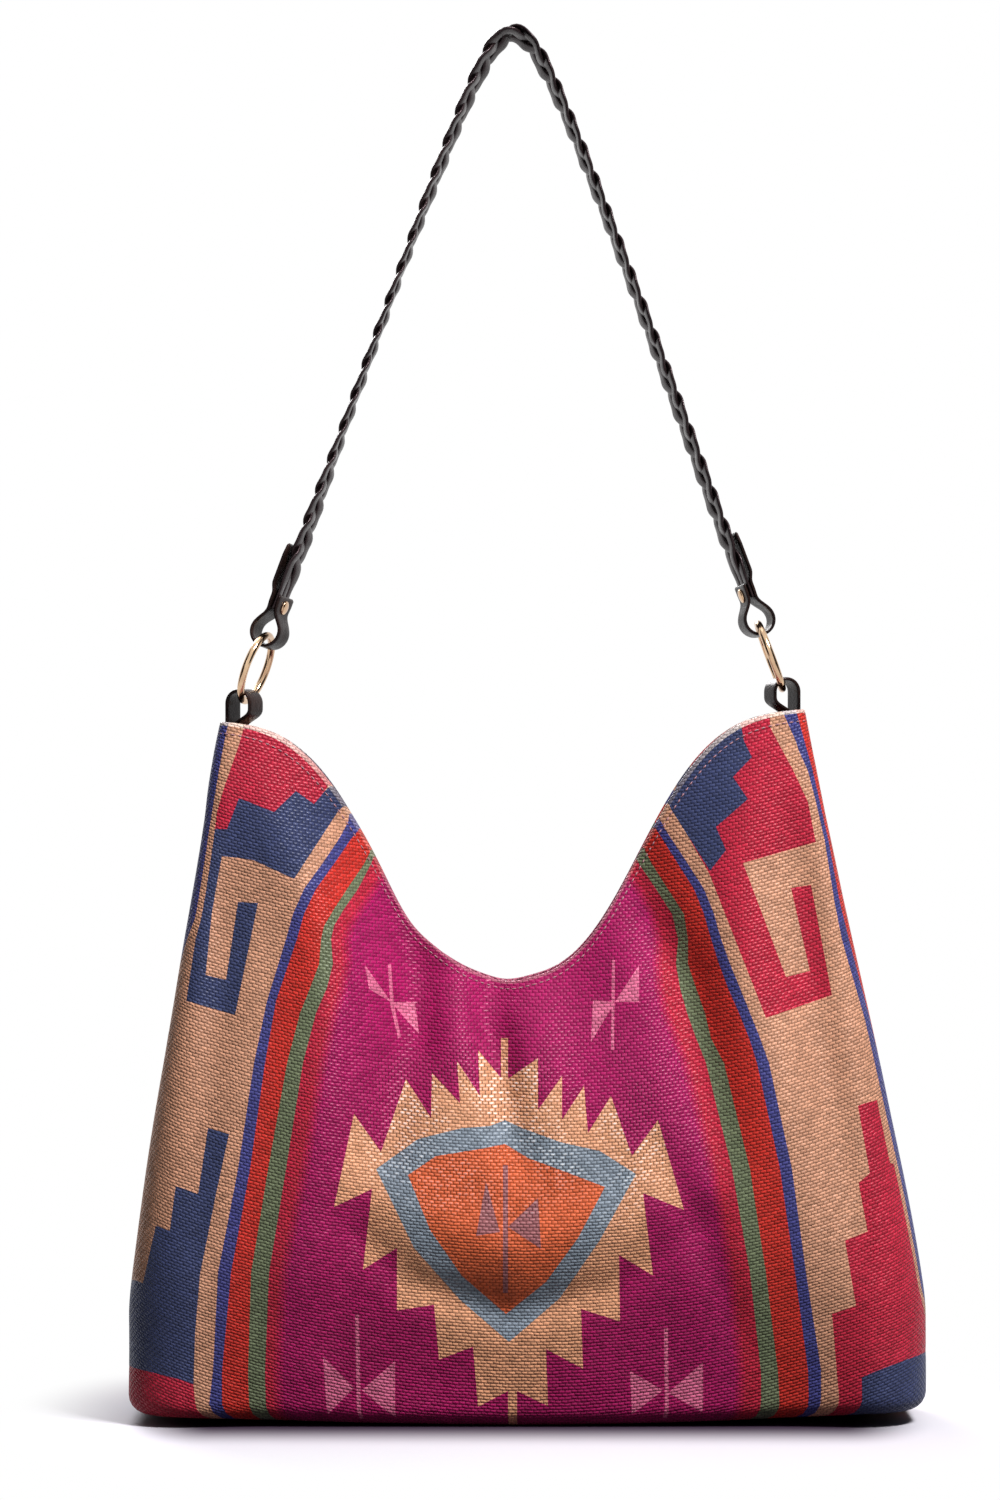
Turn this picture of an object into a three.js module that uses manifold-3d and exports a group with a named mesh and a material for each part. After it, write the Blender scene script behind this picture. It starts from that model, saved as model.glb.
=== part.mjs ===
// Woven tote bag with a deep scooped mouth and a braided leather shoulder strap.
// Millimetres, +Z up, front of the bag towards -Y, origin on the floor under the middle of the base.

import * as THREE from 'three';
import { mergeVertices } from 'three/addons/utils/BufferGeometryUtils.js';
import Module from 'manifold-3d';

// Bag body
const BASE_HALF_WIDTH = 200;
const BASE_HALF_DEPTH = 57;
const BASE_CORNER = 36;
const BASE_EDGE = 9;
const SIDE_START = 48;
const SIDE_SOFT = 18;
const SIDE_TAPER = 0.1823;
const TOP_SHIFT = -6.5;
const SHIFT_START = 40;
const CORNER_HEIGHT = 353.5;
const CORNER_RISE = 3;
const SCOOP_HEIGHT = 221.5;
const SCOOP_WAIST = 80;
const SCOOP_POWER = 2.7;
const SCOOP_SHIFT = -4;
const MOUTH_HALF_DEPTH = 13;
const MOUTH_CORNER = 6;
const LEAN_IN_START = 0.28;
const LEAN_IN_POWER = 2.3;
const CORNER_START_DROP = 0.5;
const CORNER_POWER_DROP = 0.9;
const CORNER_CLOSING = 0.6;
const CORNER_LEAST = 0.6;

// Layers of the body, from outside to inside
const PANEL = 1.6;
const FACING = 1.2;
const LINING = 0.8;
const LAYER_GAP = 0.3;
const LINING_SLACK = 0.3;
const LINING_DROP = 0.6;
const BOARD = 2;
const BOARD_MARGIN = 9;
const FACING_DEPTH = 28;
const CUT_ROOM = 1;
const BOARD_CORNER_STEPS = 5;
const POCKET_HALF_WIDTH = 72;
const POCKET_LOW = 66;
const POCKET_HIGH = 172;
const POCKET_BACK = 5;

// Magnetic snap under the middle of the mouth
const SNAP_DROP = 17;
const SNAP_RADIUS = 8.5;
const SNAP_THICK = 2.4;
const SNAP_CHAMFER = 0.5;
const SNAP_FLOOR = 0.6;
const SNAP_PLATE = 1.5;
const SNAP_STUD_RADIUS = 3;
const SNAP_STUD_LENGTH = 1.7;
const WASHER_RADIUS = 7;
const WASHER_THICK = 0.5;
const CURVE_ROOM = 0.5;
const SNAP_STEPS = 20;

// Rings, tabs and strap ends
const RING_RADIUS = 17.5;
const WIRE_RADIUS = 1.9;
const WIRE_STEPS = 8;
const RING_STEPS = 32;
const LEAN = THREE.MathUtils.degToRad(20.5);
const WIRE_RISE = 11;
const TAB_WIDTH = 12;
const TAB_PLY = 1.8;
const TAB_HOLE = 5.6;
const TAB_CROWN = 4.1;
const TAB_MEET = 13;
const TAB_LENGTH = 34;
const TAB_BEND = 3;
const TAB_PULL = 5;
const END_WIDTH = 14;
const END_PLY = 1.8;
const END_HOLE = 6.6;
const END_ROOM = 4.75;
const END_THROAT = 29.5;
const THROAT_EASE = 2;
const END_BOW = 5;
const FLARE_PULL = 3;
const SKIVE = 0.8;
const INNER_PLY_TOP = 39;
const TAIL_TOP = 65;
const RIVET_HEIGHT = 33.5;
const RIVET_SHANK = 1.5;
const RIVET_HEAD = 3.6;
const RIVET_DOME = 1.3;
const RIVET_STEPS = 16;
const DOME_WAIST = 0.6;
const DOME_SHOULDER = 0.85;
const FIT = 0.3;
const BEND_STEPS = 8;
const TAIL_FLARE = 7;

// Strap route and braid
const STRAP_TOP = 699.4;
const STRAP_CROWN = 17;
const STRAP_TWIST = [6, 6, 4, 13, 5];
const BRAID_OPENNESS = 6.8;
const STRAND_WIDTH = 7.5;
const STRAND_THICK = 1.6;
const STRAND_FLAT = 0.35;
const STRAND_LAP = 0.9;
const STRAND_PRESS = 0.1;
const STRAND_EDGE_RISE = 0.7797;
const STRAND_END_WIDTH = 6;
const STRAND_END_GAP = 0.4;
const STRAND_END_THICK = 1.6;
const BRAID_EASE = 16;
const NARROW_RUN = 8;
const SETTLE_RUN = 8.8;
const TAIL_ROOM = 0.7;
const STRAND_START = 1.5;
const ROUTE_HELD = 48;
const ROUTE_FRACTIONS = [0.72, 0.48, 0.29, 0.16, 0.075, 0.022];
const ROUTE_DIVISIONS = 2000;
const STEPS_PER_TURN = 10;
const EXTRA_STEPS = 8;
const SLOPE_STEP = 0.5;

const braidPitch = BRAID_OPENNESS * STRAND_WIDTH;
const braidSway = STRAND_WIDTH - STRAND_LAP;
const braidLift = STRAND_THICK - STRAND_PRESS;
const braidTilt = Math.asin(2 * STRAND_EDGE_RISE / STRAND_WIDTH);

const SIDES = [
  { name: 'left', sign: -1, yaw: THREE.MathUtils.degToRad(STRAP_TWIST[0]) },
  { name: 'right', sign: 1, yaw: THREE.MathUtils.degToRad(STRAP_TWIST[4]) },
];

const wasm = await Module();
wasm.setup();

const cloth = new THREE.MeshStandardMaterial({ color: 0xa32358, roughness: 0.85, metalness: 0 });
const clothBack = new THREE.MeshStandardMaterial({ color: 0xc23a55, roughness: 0.85, metalness: 0 });
const liningCloth = new THREE.MeshStandardMaterial({ color: 0xcbb79a, roughness: 0.9, metalness: 0 });
const leather = new THREE.MeshStandardMaterial({ color: 0x2a201d, roughness: 0.45, metalness: 0 });
const board = new THREE.MeshStandardMaterial({ color: 0x55504a, roughness: 0.8, metalness: 0 });
const gold = new THREE.MeshStandardMaterial({ color: 0xd9b98a, roughness: 0.25, metalness: 1 });

const bag = new THREE.Group();

// Closed geometry to solid, and back

function toSolid(geometry) {
  const bare = geometry.clone();
  for (const attribute of ['normal', 'uv']) bare.deleteAttribute(attribute);
  const merged = mergeVertices(bare, 1e-4);
  return new wasm.Manifold(new wasm.Mesh({
    numProp: 3,
    vertProperties: new Float32Array(merged.attributes.position.array),
    triVerts: new Uint32Array(merged.index.array),
  }));
}

function toGeometry(solid) {
  const { vertProperties, triVerts } = solid.getMesh();
  const geometry = new THREE.BufferGeometry();
  geometry.setAttribute('position', new THREE.BufferAttribute(new Float32Array(vertProperties), 3));
  geometry.setIndex(new THREE.BufferAttribute(new Uint32Array(triVerts), 1));
  geometry.computeVertexNormals();
  return geometry;
}

function addMesh(parent, name, geometry, material) {
  const mesh = new THREE.Mesh(geometry, material);
  mesh.name = name;
  parent.add(mesh);
  return mesh;
}

// A closed surface from equal rings of points, with a fan or a fold at each end
function loftRings(rings, closeStart, closeEnd) {
  const count = rings[0].length;
  const positions = rings.flat().flatMap((p) => [p.x, p.y, p.z]);
  const triangles = [];
  for (let r = 0; r + 1 < rings.length; r += 1) {
    for (let i = 0; i < count; i += 1) {
      const a = r * count + i;
      const b = r * count + ((i + 1) % count);
      triangles.push(a, b, a + count, b, b + count, a + count);
    }
  }
  closeStart(triangles, positions, 0, count, true);
  closeEnd(triangles, positions, (rings.length - 1) * count, count, false);
  const geometry = new THREE.BufferGeometry();
  geometry.setAttribute('position', new THREE.Float32BufferAttribute(positions, 3));
  geometry.setIndex(triangles);
  return geometry;
}

function fanCap(triangles, positions, first, count, reversed) {
  const middle = new THREE.Vector3();
  for (let i = 0; i < count; i += 1) {
    middle.add(new THREE.Vector3().fromArray(positions, (first + i) * 3));
  }
  middle.divideScalar(count);
  const centre = positions.length / 3;
  positions.push(middle.x, middle.y, middle.z);
  for (let i = 0; i < count; i += 1) {
    const a = first + i;
    const b = first + ((i + 1) % count);
    if (reversed) triangles.push(b, a, centre);
    else triangles.push(a, b, centre);
  }
}

// Ties each front point to the back point at the same width, so the cap follows the scooped mouth
function foldCap(triangles, positions, first, count, reversed) {
  const half = count / 2;
  for (let i = 0; i < half; i += 1) {
    const a = first + i;
    const b = first + i + 1;
    const c = first + ((count - i) % count);
    const d = first + count - i - 1;
    const faces = [];
    if (i === 0) faces.push([a, b, d]);
    else if (i === half - 1) faces.push([a, b, c]);
    else faces.push([a, b, d], [a, d, c]);
    for (const [p, q, r] of faces) {
      if (reversed) triangles.push(r, q, p);
      else triangles.push(p, q, r);
    }
  }
}

// Shape of the body

function sideHalfWidth(z) {
  const past = z - SIDE_START;
  const eased = past > 0 ? Math.hypot(past, SIDE_SOFT) - SIDE_SOFT : 0;
  return BASE_HALF_WIDTH - SIDE_TAPER * eased;
}

function shiftAt(z) {
  return TOP_SHIFT * THREE.MathUtils.smoothstep(z, SHIFT_START, CORNER_HEIGHT);
}

function cornerHeight(sign) {
  return CORNER_HEIGHT + sign * CORNER_RISE;
}

function mouthHeight(x) {
  const fromMiddle = x - TOP_SHIFT - SCOOP_SHIFT;
  const reach = sideHalfWidth(CORNER_HEIGHT);
  const tilt = CORNER_RISE * THREE.MathUtils.clamp((x - TOP_SHIFT) / reach, -1, 1);
  const rise = 1 - Math.exp(-((Math.abs(fromMiddle) / SCOOP_WAIST) ** SCOOP_POWER));
  return SCOOP_HEIGHT + (CORNER_HEIGHT - SCOOP_HEIGHT) * rise + tilt * rise;
}

const FRONT_STEPS = 8;
const ARC_STEPS = 3;
const EDGE_TRIES = 30;

// Columns go once round the body, starting at the left side seam and passing the front first
function bodyColumns() {
  const quarter = [];
  for (let i = 0; i < FRONT_STEPS; i += 1) quarter.push({ along: (i + 0.5) / FRONT_STEPS, arc: 0 });
  for (let i = 0; i <= ARC_STEPS; i += 1) quarter.push({ along: 1, arc: i / ARC_STEPS });
  const seam = { along: 1, arc: 1, seam: true };
  const right = quarter.map((c) => ({ ...c, sx: 1, sy: -1 }));
  const left = [...quarter].reverse().map((c) => ({ ...c, sx: -1, sy: -1 }));
  const back = [...quarter].reverse().map((c) => ({ ...c, sx: 1, sy: 1 }));
  const backLeft = quarter.map((c) => ({ ...c, sx: -1, sy: 1 }));
  return [{ ...seam, sx: -1, sy: 1 }, ...left, ...right, { ...seam, sx: 1, sy: 1 }, ...back, ...backLeft];
}

// How far the wall has closed towards the mouth, from 0 at the base to 1 at the edge
function closing(column, q) {
  const start = LEAN_IN_START * (1 - CORNER_START_DROP * column.along);
  const power = LEAN_IN_POWER - CORNER_POWER_DROP * column.along;
  return THREE.MathUtils.clamp((q - start) / (1 - start), 0, 1) ** power;
}

function wallPoint(column, z, q, inset) {
  const closed = closing(column, q);
  const halfDepth = THREE.MathUtils.lerp(BASE_HALF_DEPTH, MOUTH_HALF_DEPTH, closed) - inset;
  const cornerClosed = closed ** CORNER_CLOSING;
  const rounding = THREE.MathUtils.lerp(BASE_CORNER, MOUTH_CORNER, cornerClosed);
  const corner = Math.max(rounding - inset, CORNER_LEAST);
  const halfWidth = sideHalfWidth(z) - inset;
  const angle = column.arc * Math.PI / 2;
  const flat = halfWidth - corner;
  const x = column.along < 1 ? column.along * flat : flat + corner * Math.sin(angle);
  const y = column.seam ? 0 : halfDepth - corner + corner * Math.cos(angle);
  return new THREE.Vector3(shiftAt(z) + column.sx * x, column.sy * y, z);
}

function columnTop(column) {
  let z = CORNER_HEIGHT;
  for (let i = 0; i < EDGE_TRIES; i += 1) z = mouthHeight(wallPoint(column, z, 1, 0).x);
  return z;
}

const EDGE_STEPS = 3;
const WALL_STEPS = 10;
const WALL_START = 14;
const ROW_LEAST = 0.5;
const EDGE_LEAST = 1;
const OPEN_TOP = 20;

// A point of the wall between the shared rows, so that every layer has the same facets
function facetPoint(column, top, z, inset) {
  const row = THREE.MathUtils.clamp((z - WALL_START) / (top - WALL_START) * WALL_STEPS, 0, WALL_STEPS);
  const below = Math.min(Math.floor(row), WALL_STEPS - 1);
  const rowPoint = (i) => {
    const height = THREE.MathUtils.lerp(WALL_START, top, i / WALL_STEPS);
    return wallPoint(column, height, height / top, inset);
  };
  const point = rowPoint(below).lerp(rowPoint(below + 1), row - below);
  point.z = z;
  return point;
}

// The body as a closed solid, drawn in by `inset`, from the height `floor` to `lift` above the mouth edge
function bodySolid(inset, floor, lift) {
  const columns = bodyColumns();
  const tops = columns.map(columnTop);
  const edge = Math.max(BASE_EDGE - inset, EDGE_LEAST);
  const rings = [];
  for (let i = 0; i <= EDGE_STEPS; i += 1) {
    const angle = (i / EDGE_STEPS) * Math.PI / 2;
    const drawnIn = inset + edge * (1 - Math.sin(angle));
    const z = floor + edge * (1 - Math.cos(angle));
    rings.push(columns.map((c, k) => {
      const point = facetPoint(c, tops[k], WALL_START, drawnIn);
      point.z = z;
      return point;
    }));
  }
  const lowered = Math.min(lift, 0);
  for (let i = 0; i <= WALL_STEPS; i += 1) {
    rings.push(columns.map((c, k) => {
      const rowHeight = THREE.MathUtils.lerp(WALL_START, tops[k], i / WALL_STEPS);
      const highest = tops[k] + lowered - (WALL_STEPS - i) * ROW_LEAST;
      return facetPoint(c, tops[k], Math.min(rowHeight, highest), inset);
    }));
  }
  if (lift > 0) rings.push(rings.at(-1).map((p) => new THREE.Vector3(p.x, p.y, p.z + lift)));
  return toSolid(loftRings(rings, fanCap, foldCap));
}

function halfSpace(sign) {
  const reach = 3 * BASE_HALF_WIDTH;
  const half = new THREE.BoxGeometry(reach, reach, 2 * reach);
  half.translate(0, sign * (reach / 2 + LAYER_GAP / 2), 0);
  return toSolid(half);
}

function shell(outerInset, thick, floor, lift) {
  const outer = bodySolid(outerInset, floor, lift);
  return outer.subtract(bodySolid(outerInset + thick, floor + thick, OPEN_TOP));
}

const facingInset = PANEL + LAYER_GAP;
const liningInset = facingInset + LINING_SLACK;
const boardFloor = PANEL + LAYER_GAP;
const liningFloor = boardFloor + BOARD + LAYER_GAP;
const innerInset = facingInset + FACING;

function buildBody() {
  const panel = shell(0, PANEL, 0, 0);
  const facingSkin = shell(facingInset, FACING, liningFloor, -LAYER_GAP);
  const below = bodySolid(facingInset - CUT_ROOM, CUT_ROOM, -FACING_DEPTH);
  const facing = facingSkin.subtract(below);
  const lining = shell(liningInset, LINING, liningFloor, -FACING_DEPTH - LINING_DROP);
  for (const [side, sign] of [['front', -1], ['back', 1]]) {
    const half = halfSpace(sign);
    addMesh(bag, `${side}_panel`, toGeometry(panel.intersect(half)), sign < 0 ? cloth : clothBack);
    addMesh(bag, `facing_${side}`, toGeometry(facing.intersect(half)), clothBack);
    addMesh(bag, `lining_${side}`, toGeometry(lining.intersect(half)), liningCloth);
  }
}

function buildBaseBoard() {
  const inset = PANEL + LAYER_GAP + BOARD_MARGIN;
  const w = BASE_HALF_WIDTH - inset;
  const d = BASE_HALF_DEPTH - inset;
  const r = BASE_CORNER - inset;
  const outline = new THREE.Shape();
  outline.absarc(w - r, d - r, r, 0, Math.PI / 2);
  outline.absarc(-w + r, d - r, r, Math.PI / 2, Math.PI);
  outline.absarc(-w + r, -d + r, r, Math.PI, Math.PI * 1.5);
  outline.absarc(w - r, -d + r, r, Math.PI * 1.5, Math.PI * 2);
  const settings = { depth: BOARD, bevelEnabled: false, curveSegments: BOARD_CORNER_STEPS };
  const plate = new THREE.ExtrudeGeometry(outline, settings);
  addMesh(bag, 'base_board', plate, board).position.z = boardFloor;
}

function buildPocket() {
  const inset = liningInset + LINING + LAYER_GAP;
  const skin = shell(inset, LINING, liningFloor + LINING + LAYER_GAP, 0);
  const window = new THREE.BoxGeometry(POCKET_HALF_WIDTH * 2, BASE_HALF_DEPTH, POCKET_HIGH - POCKET_LOW);
  const middle = (POCKET_HIGH + POCKET_LOW) / 2;
  window.translate(TOP_SHIFT / 2, BASE_HALF_DEPTH / 2 + POCKET_BACK, middle);
  addMesh(bag, 'slip_pocket', toGeometry(skin.intersect(toSolid(window))), liningCloth);
}

// The two halves of the snap face each other across the mouth, each on its washer
function buildSnap() {
  const middle = { along: 0, arc: 0, sx: 1, sy: 1 };
  const top = mouthHeight(TOP_SHIFT);
  const at = (z) => wallPoint(middle, z, z / top, innerInset);
  const z = top - SNAP_DROP;
  const seat = at(z);
  const slope = at(z + 1).sub(at(z - 1)).normalize();
  for (const [side, sign] of [['back', 1], ['front', -1]]) {
    const holder = new THREE.Group();
    holder.position.set(shiftAt(z), sign * seat.y, z);
    holder.rotation.x = Math.atan2(slope.z, sign * slope.y) - Math.PI / 2 + (sign > 0 ? Math.PI : 0);
    bag.add(holder);
    const washer = new THREE.CylinderGeometry(WASHER_RADIUS, WASHER_RADIUS, WASHER_THICK, SNAP_STEPS);
    addMesh(holder, `snap_washer_${side}`, washer, gold).position.y = CURVE_ROOM + WASHER_THICK / 2;
    const base = CURVE_ROOM + WASHER_THICK + LAYER_GAP;
    const profile = side === 'back'
      ? [[0, 0], [SNAP_RADIUS, 0], [SNAP_RADIUS, SNAP_THICK - SNAP_CHAMFER],
        [SNAP_RADIUS - SNAP_CHAMFER, SNAP_THICK], [SNAP_STUD_RADIUS + FIT, SNAP_THICK],
        [SNAP_STUD_RADIUS + FIT, SNAP_FLOOR], [0, SNAP_FLOOR]]
      : [[0, 0], [SNAP_RADIUS - SNAP_CHAMFER, 0], [SNAP_RADIUS, SNAP_CHAMFER], [SNAP_RADIUS, SNAP_PLATE],
        [SNAP_STUD_RADIUS, SNAP_PLATE], [SNAP_STUD_RADIUS, SNAP_PLATE + SNAP_STUD_LENGTH],
        [0, SNAP_PLATE + SNAP_STUD_LENGTH]];
    const disc = new THREE.LatheGeometry(profile.map(([r, h]) => new THREE.Vector2(r, h)), SNAP_STEPS);
    addMesh(holder, side === 'back' ? 'snap_socket' : 'snap_stud', disc, gold).position.y = base;
  }
}

// Places of the rings

function tabReach(yaw) {
  return (TAB_HOLE + TAB_PLY) * Math.cos(yaw) + (TAB_WIDTH / 2) * Math.sin(yaw);
}

function wireSeat(side) {
  const top = cornerHeight(side.sign);
  const fromEdge = innerInset + LAYER_GAP + tabReach(side.yaw);
  const x = sideHalfWidth(top) - fromEdge;
  return new THREE.Vector3(TOP_SHIFT + side.sign * x, 0, top + WIRE_RISE);
}

function leanUp(side) {
  return new THREE.Vector3(-side.sign * Math.sin(LEAN), 0, Math.cos(LEAN));
}

function ringCentre(side) {
  return wireSeat(side).addScaledVector(leanUp(side), RING_RADIUS);
}

function extrudeAcross(outline, width) {
  const settings = { depth: width, bevelEnabled: false, curveSegments: BEND_STEPS };
  const geometry = new THREE.ExtrudeGeometry(outline, settings);
  geometry.translate(0, 0, -width / 2);
  geometry.rotateX(Math.PI / 2);
  return geometry;
}

// Outline of the tab: an arch over the wire, its inner leg drawn across to the outer one
function tabOutline() {
  const inner = TAB_HOLE;
  const outer = TAB_HOLE + TAB_PLY;
  const spring = TAB_CROWN - TAB_HOLE;
  const meet = spring - TAB_MEET;
  const low = -TAB_LENGTH;
  const beside = inner - LAYER_GAP;
  const outline = new THREE.Shape();
  outline.moveTo(outer, low);
  outline.lineTo(outer, spring);
  outline.absarc(0, spring, outer, 0, Math.PI);
  outline.lineTo(-outer, spring - TAB_BEND);
  outline.bezierCurveTo(-outer, meet + TAB_PULL - 1, beside - TAB_PLY, meet + TAB_PULL, beside - TAB_PLY,
    meet - TAB_BEND);
  outline.lineTo(beside - TAB_PLY, low);
  outline.lineTo(beside, low);
  outline.lineTo(beside, meet - TAB_BEND);
  outline.bezierCurveTo(beside, meet + TAB_PULL + 1, -inner, meet + TAB_PULL + 0.5,
    -inner, spring - TAB_BEND);
  outline.lineTo(-inner, spring);
  outline.absarc(0, spring, inner, Math.PI, 0, true);
  outline.lineTo(inner, low);
  return outline;
}

// Outline of a strap end: a teardrop round the wire, then two plies that hold the braid between them
function strapEndOutline() {
  const clasp = STRAND_END_THICK / 2 + FIT;
  const tailGap = braidLift + STRAND_THICK / 2 + TAIL_ROOM;
  const low = RING_RADIUS - END_ROOM + END_HOLE;
  const straight = INNER_PLY_TOP - 1;
  const flare = straight + TAIL_FLARE;
  const throat = END_THROAT + THROAT_EASE;
  const bow = low + END_BOW;
  const nip = END_THROAT - THROAT_EASE;
  const outline = new THREE.Shape();
  outline.moveTo(clasp + END_PLY, throat);
  outline.lineTo(clasp + END_PLY, straight);
  outline.bezierCurveTo(clasp + END_PLY, flare - FLARE_PULL - 1, tailGap + END_PLY, flare - FLARE_PULL,
    tailGap + END_PLY, flare);
  outline.lineTo(tailGap + END_PLY, TAIL_TOP - 2 * SKIVE);
  outline.lineTo(tailGap + END_PLY - SKIVE, TAIL_TOP);
  outline.lineTo(tailGap, TAIL_TOP);
  outline.lineTo(tailGap, flare);
  outline.bezierCurveTo(tailGap, flare - FLARE_PULL, clasp, flare - FLARE_PULL - 1, clasp, straight);
  outline.lineTo(clasp, throat);
  outline.bezierCurveTo(clasp, nip, END_HOLE, bow, END_HOLE, low);
  outline.absarc(0, low, END_HOLE, 0, Math.PI, true);
  outline.bezierCurveTo(-END_HOLE, bow, -clasp, nip, -clasp, throat);
  outline.lineTo(-clasp, INNER_PLY_TOP);
  outline.lineTo(-clasp - END_PLY, INNER_PLY_TOP - SKIVE);
  outline.lineTo(-clasp - END_PLY, throat);
  outline.bezierCurveTo(-clasp - END_PLY, nip - 1, -END_HOLE - END_PLY, bow + 1,
    -END_HOLE - END_PLY, low);
  outline.absarc(0, low, END_HOLE + END_PLY, Math.PI, 0, false);
  outline.bezierCurveTo(END_HOLE + END_PLY, bow + 1, clasp + END_PLY, nip - 1, clasp + END_PLY, throat);
  return outline;
}

function rivetHole(radius) {
  const bore = new THREE.CylinderGeometry(radius, radius, 2 * END_THROAT, RIVET_STEPS);
  bore.rotateZ(Math.PI / 2);
  bore.translate(0, 0, RIVET_HEIGHT);
  return bore;
}

function rivetGeometry() {
  const reach = STRAND_END_THICK / 2 + FIT + END_PLY + FIT;
  const profile = [
    [0, -reach - RIVET_DOME],
    [RIVET_HEAD * DOME_WAIST, -reach - RIVET_DOME * DOME_SHOULDER],
    [RIVET_HEAD, -reach],
    [RIVET_SHANK, -reach],
    [RIVET_SHANK, reach],
    [RIVET_HEAD, reach],
    [RIVET_HEAD * DOME_WAIST, reach + RIVET_DOME * DOME_SHOULDER],
    [0, reach + RIVET_DOME],
  ];
  const rivet = new THREE.LatheGeometry(profile.map(([r, h]) => new THREE.Vector2(r, h)), RIVET_STEPS);
  rivet.rotateZ(-Math.PI / 2);
  rivet.translate(0, 0, RIVET_HEIGHT);
  return rivet;
}

// One side's tab, ring, strap end and rivet. Local X points away from the middle of the bag.
function buildSide(side) {
  const turn = side.sign > 0 ? 0 : Math.PI;
  const tabHolder = new THREE.Group();
  tabHolder.position.copy(wireSeat(side));
  tabHolder.rotation.z = turn + side.sign * side.yaw;
  bag.add(tabHolder);
  addMesh(tabHolder, `tab_${side.name}`, extrudeAcross(tabOutline(), TAB_WIDTH), leather);

  const facing = new THREE.Group();
  facing.position.copy(ringCentre(side));
  facing.rotation.z = turn;
  const leaning = new THREE.Group();
  leaning.rotation.y = -LEAN;
  const yawed = new THREE.Group();
  yawed.rotation.z = side.sign * side.yaw;
  bag.add(facing);
  facing.add(leaning);
  leaning.add(yawed);

  const ring = new THREE.TorusGeometry(RING_RADIUS, WIRE_RADIUS, WIRE_STEPS, RING_STEPS);
  ring.rotateY(Math.PI / 2);
  addMesh(yawed, `ring_${side.name}`, ring, gold);

  const hole = toSolid(rivetHole(RIVET_SHANK + FIT));
  const end = toSolid(extrudeAcross(strapEndOutline(), END_WIDTH)).subtract(hole);
  addMesh(yawed, `strap_end_${side.name}`, toGeometry(end), leather);
  addMesh(yawed, `rivet_${side.name}`, rivetGeometry(), gold);
}

// Strap route: straight out of each folded end, then a hyperbolic arch with a small crown
function strapRoute() {
  const ends = SIDES.map((side) => {
    const along = (h) => ringCentre(side).addScaledVector(leanUp(side), h);
    const start = along(END_THROAT + STRAND_START);
    return { sign: side.sign, start, mid: along(ROUTE_HELD), exit: along(TAIL_TOP) };
  });
  const crownX = (ends[0].exit.x + ends[1].exit.x) / 2;
  const leg = (end) => {
    const reach = Math.abs(end.exit.x - crownX);
    const drop = STRAP_TOP - end.exit.z;
    const steep = drop / (Math.hypot(reach, STRAP_CROWN) - STRAP_CROWN);
    const points = ROUTE_FRACTIONS.map((f) => {
      const half = Math.sqrt((drop * f / steep + STRAP_CROWN) ** 2 - STRAP_CROWN ** 2);
      return new THREE.Vector3(crownX + end.sign * half, 0, STRAP_TOP - drop * f);
    });
    return [end.start, end.mid, end.exit, ...points];
  };
  const crown = new THREE.Vector3(crownX, 0, STRAP_TOP);
  const points = [...leg(ends[0]), crown, ...leg(ends[1]).reverse()];
  const route = new THREE.CatmullRomCurve3(points, false, 'centripetal');
  route.arcLengthDivisions = ROUTE_DIVISIONS;
  return route;
}

function smooth(value, low, high) {
  return THREE.MathUtils.smoothstep(value, low, high);
}

// Turn of the strap about its own line, held still inside the folded ends
function strapTwist(distance, length) {
  const held = TAIL_TOP - END_THROAT;
  const steps = STRAP_TWIST.length - 1;
  const t = THREE.MathUtils.clamp((distance - held) / (length - 2 * held), 0, 1) * steps;
  const i = Math.min(Math.floor(t), steps - 1);
  const angle = THREE.MathUtils.lerp(STRAP_TWIST[i], STRAP_TWIST[i + 1], smooth(t - i, 0, 1));
  return THREE.MathUtils.degToRad(-angle);
}

const flatStart = INNER_PLY_TOP - END_THROAT + 1;

// Phase of the braid at a distance along the strap: still in the ends, even in between
function braidPhase(distance, length, turns) {
  const run = length - 2 * flatStart - 2 * BRAID_EASE;
  const pace = turns * 2 * Math.PI / (run + BRAID_EASE);
  const from = distance - flatStart;
  const back = length - flatStart - distance;
  if (from <= 0) return 0;
  if (back <= 0) return turns * 2 * Math.PI;
  if (from < BRAID_EASE) return pace * from * from / (2 * BRAID_EASE);
  if (back < BRAID_EASE) return turns * 2 * Math.PI - pace * back * back / (2 * BRAID_EASE);
  return pace * (from - BRAID_EASE / 2);
}

// Section of one strand in the plane across the strap: a flat strip with thinned edges
function strandSection(sway, lift, halfWidth, thick, tilt) {
  const corners = [
    [-halfWidth, 0], [-halfWidth * STRAND_FLAT, -thick / 2], [halfWidth * STRAND_FLAT, -thick / 2],
    [halfWidth, 0], [halfWidth * STRAND_FLAT, thick / 2], [-halfWidth * STRAND_FLAT, thick / 2],
  ];
  const c = Math.cos(tilt);
  const s = Math.sin(tilt);
  return corners.map(([u, v]) => [sway + u * c - v * s, lift + u * s + v * c]);
}

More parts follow.
